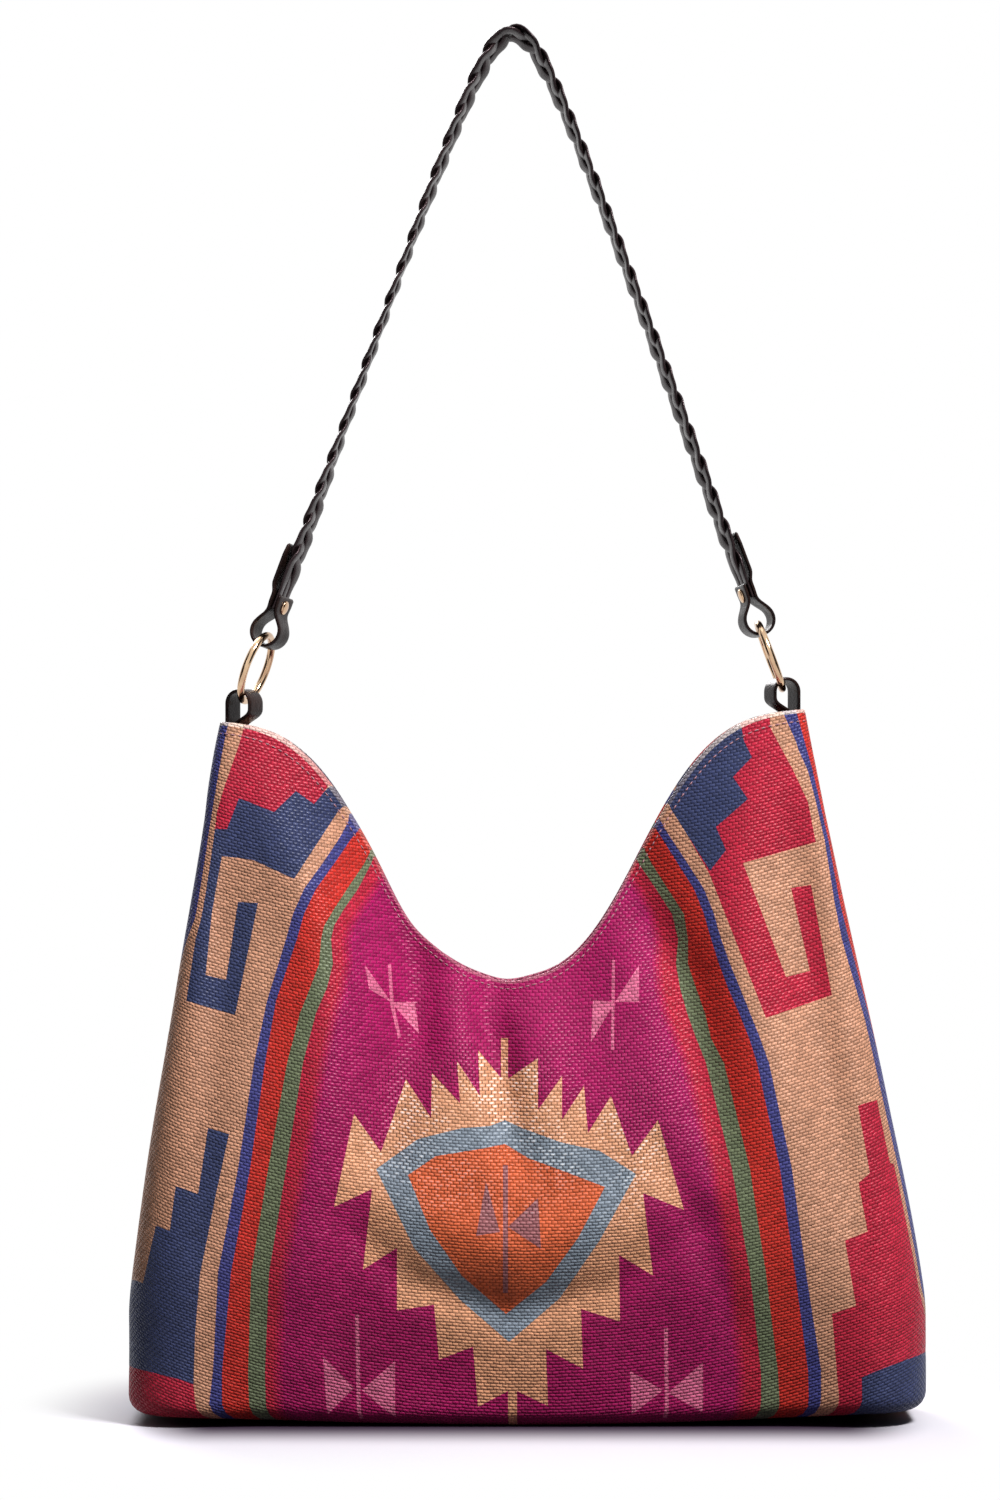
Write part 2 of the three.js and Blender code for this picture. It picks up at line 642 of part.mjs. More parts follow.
function strandRing(route, distance, length, turns, offset) {
  const at = THREE.MathUtils.clamp(distance / length, 0, 1);
  const point = route.getPointAt(at);
  const tangent = route.getTangentAt(at);
  const across = new THREE.Vector3(0, 1, 0).applyAxisAngle(tangent, strapTwist(distance, length));
  const out = new THREE.Vector3().crossVectors(tangent, across);
  const phase = braidPhase(distance, length, turns) + offset;
  const ahead = braidPhase(distance + SLOPE_STEP, length, turns) + offset;
  const slope = braidSway * (Math.sin(ahead) - Math.sin(phase)) / SLOPE_STEP;
  const fromEnd = Math.min(distance, length - distance) - flatStart;
  const narrow = 1 - smooth(fromEnd, 0, NARROW_RUN);
  const settle = 1 - smooth(fromEnd, -1, SETTLE_RUN);
  const braidedHalf = STRAND_WIDTH / 2 * Math.hypot(1, slope);
  const halfWidth = THREE.MathUtils.lerp(braidedHalf, STRAND_END_WIDTH / 2, narrow);
  const lane = Math.round(Math.sin(phase) / Math.sin(Math.PI / 3));
  const endSway = lane * (STRAND_END_WIDTH + STRAND_END_GAP);
  const sway = THREE.MathUtils.lerp(braidSway * Math.sin(phase), endSway, settle);
  const lift = THREE.MathUtils.lerp(braidLift * Math.sin(2 * phase), 0, settle);
  const tilt = THREE.MathUtils.lerp(braidTilt * Math.cos(phase), 0, settle);
  return strandSection(sway, lift, halfWidth, STRAND_THICK, tilt).map(([u, v]) => (
    point.clone().addScaledVector(across, u).addScaledVector(out, v)));
}

function buildStrands() {
  const route = strapRoute();
  const length = route.getLength();
  const braided = length - 2 * flatStart - BRAID_EASE;
  const crossings = 6;
  const turns = Math.round(braided / (braidPitch / crossings)) / crossings;
  const steps = Math.round(turns * STEPS_PER_TURN) + EXTRA_STEPS;
  for (let strand = 0; strand < 3; strand += 1) {
    const rings = [];
    for (let i = 0; i <= steps; i += 1) {
      rings.push(strandRing(route, length * i / steps, length, turns, strand * 2 * Math.PI / 3));
    }
    let solid = toSolid(loftRings(rings, fanCap, fanCap));
    for (const side of SIDES) {
      const hole = rivetHole(RIVET_SHANK + FIT);
      hole.rotateZ(side.sign * side.yaw);
      hole.rotateY(-LEAN);
      hole.rotateZ(side.sign > 0 ? 0 : Math.PI);
      hole.translate(...ringCentre(side).toArray());
      solid = solid.subtract(toSolid(hole));
    }
    addMesh(bag, `strap_strand_${strand + 1}`, toGeometry(solid), leather);
  }
}

buildBody();
buildBaseBoard();
buildPocket();
buildSnap();
for (const side of SIDES) buildSide(side);
buildStrands();

export default bag;
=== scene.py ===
import math

import bpy
import numpy as np
from mathutils import Matrix, Vector
from mathutils.geometry import delaunay_2d_cdt


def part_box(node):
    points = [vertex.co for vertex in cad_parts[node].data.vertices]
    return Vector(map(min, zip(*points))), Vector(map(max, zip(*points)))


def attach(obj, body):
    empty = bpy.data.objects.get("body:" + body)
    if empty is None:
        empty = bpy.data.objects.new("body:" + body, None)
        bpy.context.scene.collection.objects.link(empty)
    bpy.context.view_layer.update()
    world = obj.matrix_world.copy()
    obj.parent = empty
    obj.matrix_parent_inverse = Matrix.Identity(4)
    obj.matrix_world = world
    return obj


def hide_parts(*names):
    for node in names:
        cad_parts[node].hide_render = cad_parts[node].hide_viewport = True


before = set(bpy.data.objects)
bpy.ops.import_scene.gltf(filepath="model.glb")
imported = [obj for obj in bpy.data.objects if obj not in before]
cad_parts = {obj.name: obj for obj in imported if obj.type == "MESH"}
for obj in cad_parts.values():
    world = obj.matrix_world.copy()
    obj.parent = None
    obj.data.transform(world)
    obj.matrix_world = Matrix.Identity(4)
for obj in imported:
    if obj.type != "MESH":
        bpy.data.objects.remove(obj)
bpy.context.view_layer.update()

# Sizes are in millimetres and turned into metres when a mesh is made.
# The front of the bag faces -Y.

# Bag body
HALF_WIDTH = 200
HALF_DEPTH = 57
BASE_CORNER = 36
BOARD_CORNER = 28
BASE_EDGE = 9
CURL_LEFT = 4.5
CURL_RIGHT = 6.5
CURL_REACH = 170
CURL_FADE = 110
SIDE_START = 48
SIDE_SOFT = 18
SIDE_TAPER = 0.1823
TOP_SHIFT = -6.5
CORNER_HEIGHT = 353.5
CORNER_RISE = 3
SCOOP_HEIGHT = 221.5
SCOOP_WAIST = 80
SCOOP_POWER = 2.7
SCOOP_SHIFT = -4
NOTCH_DEPTH = 2.4
NOTCH_X = -12.5
NOTCH_WIDTH = 11
SLUMP_DEPTH = 6
SLUMP_X = -63
SLUMP_WIDTH = 13
BACK_SLUMP = 3
CLOSEST = 4.5
MOUTH_HALF_DEPTH = 13
MOUTH_CORNER = 6
MOUTH_REACH = 148
SHIFT_START = 40
CLOSING_REACH = 0.78
CLOSING_START = 0.28
CLOSING_POWER = 2.3
LEAST_CORNER = 0.8

# Cloth sheet coordinates: P runs round the half body, T runs up the wall
SHEET_HALF = 240
EDGE_END = BASE_EDGE * math.pi / 2
WALL_END = 350
RIM_RADIUS = 1.1
RIM_END = WALL_END + math.pi * RIM_RADIUS
FACING_END = RIM_END + 26
BASE_START = EDGE_END - 62
RIM_STEPS = 240
LINING_INSET = 3.4
LINING_SQUASH = 0.985
LINING_LIFT = 4.3
SHEET_COLUMNS = 121

# The cloth stays flat round the magnetic snap
SNAP_X = -3.5
SNAP_Z = 203
SNAP_WIDE = 12
SNAP_TALL = 13

# Where along the sheet the back's rim sags, the folds fade out and the base tucks in
BACK_SLUMP_AT = 0.36
BACK_SLUMP_WIDE = 0.14
SIDE_CALM = 0.55
SIDE_CALM_FROM = 0.55
FOLDS_FROM = 40
TUCK_HEIGHTS = (-15, 95)
TUCK_REACH = (0.5, 0.86)

# Angle round a corner at which the front view's outline lies
OUTLINE_TURN = math.radians(85.3)

# Weave: length and row height of a visible thread, how the rows sag, and the ellipse over the belly where
# the painted shade between threads deepens and painted glints show
YARN_LONG = 3.1
YARN_ROW = 1.65
YARN_WOBBLE = 1.2
ROW_SAG = 0.00095
THREAD_LONG_ROUND = 0.5
THREAD_ROUND = 0.6
THREAD_LEAN = 0.7
SHADE_GLINT_WIDTH = 92.0
SHADE_GLINT_HEIGHT = 150.0
SHADE_GLINT_TALL = 62.0
NOISE_ROUGHNESS = 0.6

# Front view: size of a pixel, the pixel at the origin, and the eye. The print is drawn as seen from it
PIXEL = 0.506
VIEW_WIDTH = 1000
VIEW_HEIGHT = 1500
ORIGIN_X = 527
ORIGIN_Y = 1415
VIEW_DISTANCE = 2580
CAMERA_SENSOR = 36
CAMERA_X = (VIEW_WIDTH / 2 - ORIGIN_X) * PIXEL
CAMERA_Z = (ORIGIN_Y - VIEW_HEIGHT / 2) * PIXEL


def smoothstep(x, low, high):
    t = np.clip((np.asarray(x, float) - low) / (high - low), 0, 1)
    return t * t * (3 - 2 * t)


def bell(x, width):
    return np.exp(-(x / width) ** 2)


# Body shape

def side_width(z):
    past = np.maximum(np.asarray(z, float) - SIDE_START, 0)
    return HALF_WIDTH - SIDE_TAPER * (np.hypot(past, SIDE_SOFT) - SIDE_SOFT)


def shift_at(z):
    return TOP_SHIFT * smoothstep(z, SHIFT_START, CORNER_HEIGHT)


def mouth_height(x):
    rise = 1 - np.exp(-(np.abs(x - TOP_SHIFT - SCOOP_SHIFT) / SCOOP_WAIST) ** SCOOP_POWER)
    tilt = CORNER_RISE * np.clip((x - TOP_SHIFT) / MOUTH_REACH, -1, 1)
    notch = NOTCH_DEPTH * bell(x - NOTCH_X, NOTCH_WIDTH)
    slump = SLUMP_DEPTH * bell(x - SLUMP_X, SLUMP_WIDTH)
    return SCOOP_HEIGHT + (CORNER_HEIGHT - SCOOP_HEIGHT) * rise + tilt * rise - notch - slump


def section(p, q, z, inset):
    """Half width, half depth and corner radius of the plan at a height."""
    along = np.clip(np.abs(p) / CLOSING_REACH, 0, 1)
    start = CLOSING_START * (1 - 0.5 * along)
    closed = np.clip((q - start) / (1 - start), 0, 1) ** (CLOSING_POWER - 0.9 * along)
    depth = HALF_DEPTH + (MOUTH_HALF_DEPTH - HALF_DEPTH) * closed - inset
    corner = BASE_CORNER + (MOUTH_CORNER - BASE_CORNER) * closed ** 0.6 - inset
    return side_width(z) - inset, depth, np.maximum(corner, LEAST_CORNER)


def half_round(width, depth, corner):
    """Length of the half outline, from the middle to the side seam."""
    return width - corner + corner * math.pi / 2 + depth - corner


def plan(p, width, depth, corner):
    """Point and outward normal on the half outline, and its length from the middle."""
    flat = width - corner
    run = np.abs(p) * half_round(width, depth, corner)
    angle = np.clip((run - flat) / corner, 0, math.pi / 2)
    x = np.minimum(run, flat) + corner * np.sin(angle)
    y = depth - corner + corner * np.cos(angle) - np.clip(run - flat - corner * math.pi / 2, 0, None)
    sign = np.sign(p)
    return sign * x, y, sign * np.sin(angle), np.cos(angle), sign * run


def top_table():
    p = np.linspace(-1, 1, 801)
    z = np.full_like(p, CORNER_HEIGHT)
    for _ in range(40):
        x = plan(p, *section(p, np.ones_like(p), z, 0))[0]
        z = 0.5 * z + 0.5 * mouth_height(x + TOP_SHIFT)
    return p, z


TOP_P, TOP_Z = top_table()


def top_of(p):
    return np.interp(p, TOP_P, TOP_Z)


CREASE_ENDS = 0.07
CREASE_FADE = 0.6


def crease(x, z, points, width):
    """1 on a soft line through the points, fading to 0 across its width and at its ends."""
    best = np.zeros_like(x)
    total = len(points) - 1
    for i, ((ax, az), (bx, bz)) in enumerate(zip(points, points[1:])):
        length2 = (bx - ax) ** 2 + (bz - az) ** 2
        t = np.clip(((x - ax) * (bx - ax) + (z - az) * (bz - az)) / length2, 0, 1)
        gap2 = (x - ax - t * (bx - ax)) ** 2 + (z - az - t * (bz - az)) ** 2
        taper = np.sin(math.pi * ((i + t) / total * (1 - 2 * CREASE_ENDS) + CREASE_ENDS)) ** CREASE_FADE
        best = np.maximum(best, taper * np.exp(-gap2 / width ** 2))
    return best


BELLY = 9.0
BELLY_HEIGHT = 140
BELLY_TALL = 72
BELLY_WIDE = 140
RIPPLE = 0.8
TUCK = 11.5

# Depth, width and line of each soft fold, seen from its own side
FRONT_FOLDS = [
    (-8.0, 9, [(-13, 234), (-16, 205), (-10, 170), (-2, 130)]),
    (3.5, 13, [(14, 224), (10, 196), (14, 160)]),
    (3.0, 12, [(-34, 224), (-34, 196), (-26, 166)]),
    (-12.0, 15, [(-80, 300), (-66, 262), (-52, 224), (-54, 190), (-68, 140)]),
    (-11.0, 15, [(58, 296), (66, 256), (82, 222), (88, 190), (98, 140)]),
    (6.5, 18, [(-138, 336), (-118, 292), (-99, 250), (-96, 205), (-104, 140), (-116, 80)]),
    (6.5, 18, [(126, 332), (110, 276), (112, 232), (124, 170), (138, 90)]),
    (-4.0, 10, [(-92, 104), (-56, 72), (-8, 58), (42, 70), (88, 104)]),
    (4.5, 15, [(-62, 112), (-8, 90), (58, 112)]),
    (-4.5, 11, [(-152, 300), (-148, 236), (-160, 150), (-168, 90)]),
    (-4.5, 11, [(140, 296), (146, 226), (158, 140), (168, 80)]),
    (-3.0, 9, [(-60, 150), (-84, 96), (-100, 40)]),
    (-3.0, 9, [(62, 150), (88, 96), (106, 40)]),
]
BACK_FOLDS = [
    (-5.5, 15, [(-60, 288), (-48, 240), (-56, 176)]),
    (-5.0, 14, [(66, 284), (58, 238), (70, 170)]),
    (3.5, 20, [(-128, 320), (-108, 250), (-120, 130)]),
    (3.5, 20, [(122, 316), (110, 240), (124, 120)]),
    (-2.5, 10, [(-70, 92), (6, 66), (72, 94)]),
]


def relief(x, z, folds):
    """How far the cloth stands out from the plain body."""
    d = BELLY * bell(z - BELLY_HEIGHT, BELLY_TALL) * bell(x, BELLY_WIDE)
    for depth, width, points in folds:
        d = d + depth * crease(x, z, points, width)
    return d + RIPPLE * np.sin(x * 0.045 + 1.3 * np.sin(z * 0.02)) * np.sin(z * 0.031 + 0.6)


def corner_lift(x, z):
    """How far the base curls up off the floor towards its ends."""
    reach = np.clip(np.abs(x) / CURL_REACH, 0, 1)
    return np.where(x < 0, CURL_LEFT, CURL_RIGHT) * reach ** 2 * (1 - smoothstep(z, 0, CURL_FADE))


def cloth_point(P, T, front, inset=0.0):
    """Point of the cloth, its run from the middle and its height along the sheet."""
    T = np.asarray(T, float)
    p = np.asarray(P, float) / SHEET_HALF
    top = top_of(p) if front else top_of(-p) - BACK_SLUMP * bell(p - BACK_SLUMP_AT, BACK_SLUMP_WIDE)
    edge = np.clip(T / BASE_EDGE, 0, math.pi / 2)
    up = BASE_EDGE + (T - EDGE_END) / (WALL_END - EDGE_END) * (top - BASE_EDGE)
    turn = np.clip((T - WALL_END) / RIM_RADIUS, 0, math.pi)
    on_base = T < EDGE_END
    past_rim = T > WALL_END
    z = np.where(on_base, BASE_EDGE * (1 - np.cos(edge)), up)
    z = np.where(past_rim, top - np.clip(T - RIM_END, 0, None), z)
    drawn = inset + np.where(on_base, BASE_EDGE * (1 - np.sin(edge)), 0)
    drawn = drawn + RIM_RADIUS * (1 - np.cos(turn))
    width, depth, corner = section(p, np.clip(z / top, 0, 1), z, drawn)
    x, y, nx, ny, run = plan(p, width, depth, corner)
    z = z + np.where(past_rim, RIM_RADIUS * np.sin(turn), 0)
    fade = 1 - SIDE_CALM * smoothstep(np.abs(p), SIDE_CALM_FROM, 1)
    d = relief(x, z, FRONT_FOLDS if front else BACK_FOLDS) * smoothstep(T, 0, FOLDS_FROM) * fade
    tuck = TUCK * (1 - smoothstep(z, *TUCK_HEIGHTS)) * (1 - smoothstep(np.abs(p), *TUCK_REACH))
    flat = np.clip(T / BASE_START, 0, 1)
    d = np.maximum(d - tuck * (1 - flat), -(depth - CLOSEST + drawn))
    by_snap = np.exp(-(((x - SNAP_X) / SNAP_WIDE) ** 2 + ((z - SNAP_Z) / SNAP_TALL) ** 2) ** 2)
    d = np.maximum(d, -1) * by_snap + d * (1 - by_snap)
    x = x + d * nx + shift_at(z)
    y = y + d * ny
    y = np.where(T < 0, y * (1 - flat), y)
    sheet_height = np.where(on_base, BASE_EDGE + T - EDGE_END, z)
    sheet_height = np.where(past_rim, top + T - WALL_END, sheet_height)
    if not front:
        x = shift_at(z) * 2 - x
    return np.stack([x, -y if front else y, z + corner_lift(x, z)], -1), run, sheet_height


# Picture coordinates of the printed pattern to cloth sheet coordinates, found by trial from a first guess

FIRST_HALF = 230
FIRST_DEPTH = 45


def sheet_from_plane(x, z):
    """P and T of the front wall at a place in the front view."""
    x = np.asarray(x, float)
    z = np.asarray(z, float)
    zc = np.maximum(z, BASE_EDGE)
    offset = x - shift_at(zc)
    p = np.clip(offset / FIRST_HALF, -1, 1)
    for _ in range(24):
        top = top_of(p)
        width, depth, corner = section(p, np.clip(zc / top, 0, 1), zc, 0)
        flat = width - corner
        over = np.clip((np.abs(offset) - flat) / corner, 0, 1)
        run = np.where(np.abs(offset) < flat, np.abs(offset), flat + corner * np.arcsin(over))
        p = 0.5 * p + 0.5 * np.sign(offset) * run / half_round(width, depth, corner)
    top = top_of(p)
    T = EDGE_END + (zc - BASE_EDGE) / (top - BASE_EDGE) * (WALL_END - EDGE_END)
    T = np.where(z < BASE_EDGE, EDGE_END + z - BASE_EDGE, T)
    return p * SHEET_HALF, T


def sheet_from_picture(px):
    """P and T of pixels in the front view."""
    depth = FIRST_DEPTH
    for _ in range(6):
        size = PIXEL * (VIEW_DISTANCE - depth) / VIEW_DISTANCE
        x = CAMERA_X + (px[:, 0] - VIEW_WIDTH / 2) * size
        z = CAMERA_Z - (px[:, 1] - VIEW_HEIGHT / 2) * size
        P, T = sheet_from_plane(x, z)
        depth = -cloth_point(P, np.clip(T, EDGE_END, WALL_END), True)[0][..., 1]
    return np.stack([P, T], -1)


def finely(numbers, step, closed=True):
    """The outline through x, y, x, y and so on, with extra points no further apart than step."""
    points = np.reshape(numbers, (-1, 2)).astype(float)
    out = []
    for a, b in zip(points, np.roll(points, -1, axis=0)):
        pieces = max(1, math.ceil(np.linalg.norm(b - a) / step))
        out += [a + (b - a) * k / pieces for k in range(pieces)]
    if not closed:
        out = out[:-pieces] + [points[-1]]
    return np.array(out)


# Colours of the print, as written for the screen

INK = {
    "magenta": (152, 17, 83),
    "crimson": (172, 32, 56),
    "navy": (51, 58, 92),
    "peach": (188, 136, 109),
    "red": (184, 44, 36),
    "green": (100, 108, 82),
    "blue": (60, 60, 118),
    "orange": (204, 94, 56),
    "grey": (124, 134, 146),
    "pink": (200, 98, 132),
    "gold": (212, 150, 114),
    "dusk": (150, 92, 96),
    "rim": (236, 218, 206),
    "band1": (168, 28, 63),
    "band2": (163, 24, 70),
    "band3": (157, 20, 77),
}


def linear(rgb):
    c = np.asarray(rgb, float) / 255
    return np.where(c <= 0.04045, c / 12.92, ((c + 0.055) / 1.055) ** 2.4)


# The crimson stripe fades into the ground over three thin bands, this many pixels each
FADE_STEP = 3.2

# Pixels between the points of a drawn edge
STRIPE_STEP = 10
SHAPE_STEP = 8

# Edges of the long stripes in the picture, from the floor to the mouth: x at each of the shared heights,
# then x and y of the points that follow
LEFT_OUTER = (1480, 1412, 1378, 1274, 1169, 1063, 1001, 939, 914, 889, 864, 839)
LEFT_INNER = (1480, 1412, 1378, 1274, 1169, 1063, 1013, 988, 964, 939, 926, 909, 889)
RIGHT_ALL = (1480, 1416, 1378, 1274, 1169, 1063, 1038, 1013, 988, 964, 939, 914, 889)
LEFT_STRIPES = [
    ("peach", LEFT_OUTER, [212, 209, 213, 218, 238, 254, 267, 286, 293, 304, 322, 339],
     [348, 822, 352, 790]),
    ("blue", LEFT_OUTER, [224, 222, 222, 231, 250, 265, 276, 297, 304, 316, 334, 351],
     [358, 831, 363, 790]),
    ("red", LEFT_INNER, [250, 249, 248, 251, 268, 287, 300, 310, 319, 321, 324, 334, 347],
     [364, 864, 370, 852, 374, 790]),
    ("green", LEFT_INNER, [266, 266, 265, 269, 286, 303, 316, 327, 333, 331, 334, 344, 358],
     [371, 864, 376, 850, 384, 790]),
    ("crimson", LEFT_INNER, [274, 274, 273, 279, 300, 318, 330, 338, 343, 342, 346, 356, 370],
     [382, 866, 390, 840, 396, 790]),
]
RIGHT_STRIPES = [
    ("peach", RIGHT_ALL, [822, 821, 821, 806, 792, 769, 760, 750, 740, 730, 721, 714, 704],
     [688, 864, 665, 829, 650, 800]),
    ("blue", RIGHT_ALL, [810, 809, 808, 795, 780, 757, 749, 739, 728, 719, 711, 704, 694],
     [678, 864, 658, 832, 640, 800]),
    ("red", RIGHT_ALL, [780, 780, 778, 766, 750, 724, 711, 705, 696, 688, 688, 684, 668],
     [652, 864, 645, 850, 625, 800]),
    ("green", RIGHT_ALL, [762, 761, 761, 750, 732, 706, 696, 687, 680, 676, 678, 672, 656],
     [639, 864, 634, 850, 614, 800]),
    ("crimson", RIGHT_ALL, [745, 744, 745, 735, 717, 690, 680, 670, 664, 662, 663, 657, 643],
     [628, 868, 622, 840, 602, 800]),
]

# Shapes on the ground, painted in this order: x and y of each corner in the picture
LEFT_SHAPES = [
    ("crimson", [225, 640, 248, 712, 239, 745, 225, 785, 212, 829, 227, 829, 239, 798, 274, 812, 296, 791,
        314, 804, 324, 792, 345, 760, 350, 640]),
    ("navy", [212, 829, 227, 829, 239, 798, 274, 812, 296, 791, 314, 804, 324, 792, 345, 770, 352, 800, 339,
        810, 294, 879, 253, 860, 222, 856, 211, 915, 205, 975, 226, 980, 238, 902, 258, 903, 235, 1015, 186,
        1001, 198, 915]),
    ("navy", [208, 1128, 229, 1134, 216, 1194, 200, 1276, 195, 1340, 193, 1392, 134, 1376, 100, 1370, 90,
        1280, 136, 1283, 143, 1286, 157, 1226, 170, 1231, 176, 1186, 198, 1194]),
    ("crimson", [90, 1360, 134, 1376, 193, 1392, 195, 1412, 196, 1500, 90, 1500]),
]
RIGHT_SHAPES = [
    ("crimson", [770, 690, 770, 727, 793, 770, 808, 802, 816, 842, 743, 863, 786, 977, 810, 971, 791, 888,
        811, 885, 832, 995, 766, 1018, 709, 873, 690, 840, 700, 700]),
    ("navy", [744, 741, 752, 757, 733, 777, 748, 799, 716, 827, 726, 850, 710, 871, 671, 809, 660, 780, 735,
        690]),
    ("crimson", [865, 1103, 858, 1106, 870, 1173, 859, 1183, 868, 1232, 845, 1241, 856, 1311, 832, 1319,
        839, 1408, 842, 1500, 960, 1500, 960, 1180, 889, 1163, 876, 1100]),
    ("navy", [862, 1389, 921, 1365, 960, 1350, 960, 1500, 866, 1500]),
]
MIDDLE_SHAPES = [
    ("gold", [354, 1114, 381, 1152, 406, 1079, 431, 1118, 432, 1073, 460, 1103, 457, 1061, 480, 1096, 478,
        1050, 501, 1078, 501, 1038, 508, 1038, 508, 1079, 538, 1058, 538, 1110, 562, 1076, 562, 1120, 584,
        1086, 588, 1133, 611, 1096, 632, 1156, 658, 1120, 684, 1210, 643, 1193, 653, 1276, 619, 1255, 620,
        1322, 581, 1309, 583, 1369, 546, 1349, 548, 1406, 517, 1391, 517, 1450, 508, 1450, 508, 1391, 478,
        1407, 473, 1347, 439, 1360, 434, 1305, 397, 1311, 397, 1248, 363, 1270, 372, 1189, 334, 1207]),
    ("grey", [376, 1169, 418, 1139, 462, 1128, 490, 1126, 505, 1120, 522, 1128, 560, 1142, 600, 1151, 636,
        1174, 600, 1240, 560, 1298, 509, 1342, 460, 1300, 414, 1248]),
    ("orange", [408, 1175, 436, 1156, 480, 1149, 505, 1144, 528, 1158, 566, 1172, 605, 1187, 578, 1238, 546,
        1282, 506, 1314, 462, 1276, 430, 1230]),
    ("dusk", [486, 1182, 500, 1232, 476, 1236]),
    ("dusk", [538, 1198, 541, 1249, 508, 1227]),
    ("dusk", [503, 1165, 508, 1165, 508, 1293, 503, 1293]),
    ("pink", [323, 1359, 354, 1390, 327, 1418]),
    ("pink", [395, 1362, 395, 1420, 362, 1392]),
    ("pink", [355, 1316, 359, 1316, 361, 1423, 357, 1423]),
    ("pink", [630, 1372, 663, 1392, 632, 1416]),
    ("pink", [703, 1365, 703, 1416, 668, 1395]),
    ("pink", [664, 1329, 668, 1329, 669, 1422, 665, 1422]),
    ("pink", [365, 965, 391, 1002, 369, 989]),
    ("pink", [391, 1002, 415, 1002, 419, 1034]),
    ("pink", [388, 964, 391, 964, 394, 1004, 401, 1037, 398, 1038, 390, 1004]),
    ("pink", [639, 965, 639, 1002, 615, 1002]),
    ("pink", [615, 1002, 593, 1000, 591, 1042]),
    ("pink", [612, 960, 615, 960, 614, 1050, 611, 1050]),
]
# Stripes near the edges: height, and distance in from the outline of the front view, which is negative
# once round the corner
EDGE_STRIPES = {
    -1: [
        ("peach", [351, 10.6, 344, 9.5, 316, 5.5, 298, 6, 279, 6, 253, 6, 241, 5, 209, 2, 180, -3, 120, -8,
            9, -14]),
        ("blue", [351, 3.8, 344, 3.8, 316, 3.8, 298, 3, 279, 3, 253, 3.2, 241, 1, 209, -2, 180, -8, 120,
            -13, 9, -20]),
        ("red", [351, -0.6, 298, -0.8, 253, -2, 209, -5, 120, -17, 9, -26]),
        ("green", [351, -6, 298, -8, 209, -12, 120, -25, 9, -34]),
        ("crimson", [351, -9, 298, -11, 209, -16, 120, -30, 9, -40]),
        ("magenta", [351, -12, 298, -16, 209, -24, 120, -36, 9, -46]),
    ],
    1: [
        ("peach", [356, 19, 326, 12, 310, 7.3, 291, 6.8, 241, 7, 203, 5, 178, 4.5, 129, 3.5, 93, 3, 66, 2.5,
            48, 0, 9, -6]),
        ("blue", [356, 12, 326, 4.5, 310, 3.5, 291, 3, 260, 4.5, 241, 4.8, 203, 2.7, 178, 2.5, 129, 1.8, 93,
            1.6, 66, 1.2, 48, -1, 9, -11]),
        ("red", [356, 4.5, 326, 2, 310, 1.5, 291, 1.2, 260, 2, 241, 1.5, 203, 0.3, 178, 0, 129, -1.5, 93,
            -3, 48, -8, 9, -18]),
        ("green", [356, -4, 291, -8, 203, -12, 93, -20, 9, -30]),
        ("crimson", [356, -8, 291, -12, 203, -17, 93, -26, 9, -36]),
        ("magenta", [356, -12, 291, -18, 203, -24, 93, -34, 9, -44]),
    ],
}


def side_line(table, sign):
    """P and T along a stripe edge given by its distance in from the outline of the front view."""
    heights, inward = np.reshape(table, (-1, 2))[::-1].T
    T = np.linspace(BASE_START, FACING_END, 90)
    t = np.clip((T - EDGE_END) / (WALL_END - EDGE_END), 0, 1)
    p = np.full_like(T, 0.9)
    for _ in range(12):
        top = top_of(sign * p)
        z = BASE_EDGE + t * (top - BASE_EDGE)
        width, depth, corner = section(p, z / top, z, 0)
        outline = width - corner + corner * OUTLINE_TURN
        gap = np.interp(z, heights, inward)
        on_arc = corner * np.arccos(np.clip(1 - gap / corner, -1, 1))
        run = np.where(gap > corner, width - gap, outline - on_arc)
        run = np.where(gap < 0, outline - gap, run)
        p = 0.5 * p + 0.5 * np.minimum(run / half_round(width, depth, corner), 1.2)
    return np.stack([sign * p * SHEET_HALF, T], -1)


# A place past every edge of the sheet
PAST_SIDE = 300
PAST_BASE = -90
PAST_RIM = 420


def pattern_fields():
    """Colour name and outline of every field, in sheet coordinates, in painting order."""
    fields = []
    for stripes, inward in ((LEFT_STRIPES, 1), (RIGHT_STRIPES, -1)):
        edges = [(name, [*zip(xs, heights), *np.reshape(rest, (-1, 2))])
                 for name, heights, xs, rest in stripes]
        edges += [("band%d" % k, [(x + inward * FADE_STEP * k, y) for x, y in edges[-1][1]])
                  for k in (1, 2, 3)]
        for name, edge in reversed(edges):
            line = sheet_from_picture(finely(edge, STRIPE_STEP, closed=False)).tolist()
            far = -PAST_SIDE * inward
            ends = [[line[-1][0], PAST_RIM], [far, PAST_RIM], [far, PAST_BASE]]
            fields.append((name, np.array([[line[0][0], PAST_BASE]] + line + ends)))
    for name, outline in LEFT_SHAPES + RIGHT_SHAPES + MIDDLE_SHAPES:
        fields.append((name, sheet_from_picture(finely(outline, SHAPE_STEP))))
    for sign, stripes in EDGE_STRIPES.items():
        far = sign * PAST_SIDE
        for name, table in stripes:
            line = side_line(table, sign).tolist()
            fields.append((name, np.array(line + [[far, PAST_RIM], [far, PAST_BASE]])))
    return fields


def inside(points, outline):
    """Which points lie inside a closed outline."""
    result = np.all((points > outline.min(axis=0)) & (points < outline.max(axis=0)), axis=1)
    xs, ys = points[result].T
    hit = np.zeros(len(xs), bool)
    for (ax, ay), (bx, by) in zip(outline, np.roll(outline, 1, axis=0)):
        if ay != by:
            hit ^= ((ay > ys) != (by > ys)) & (xs < (bx - ax) * (ys - ay) / (by - ay) + ax)
    result[result] = hit
    return result


# Mesh building

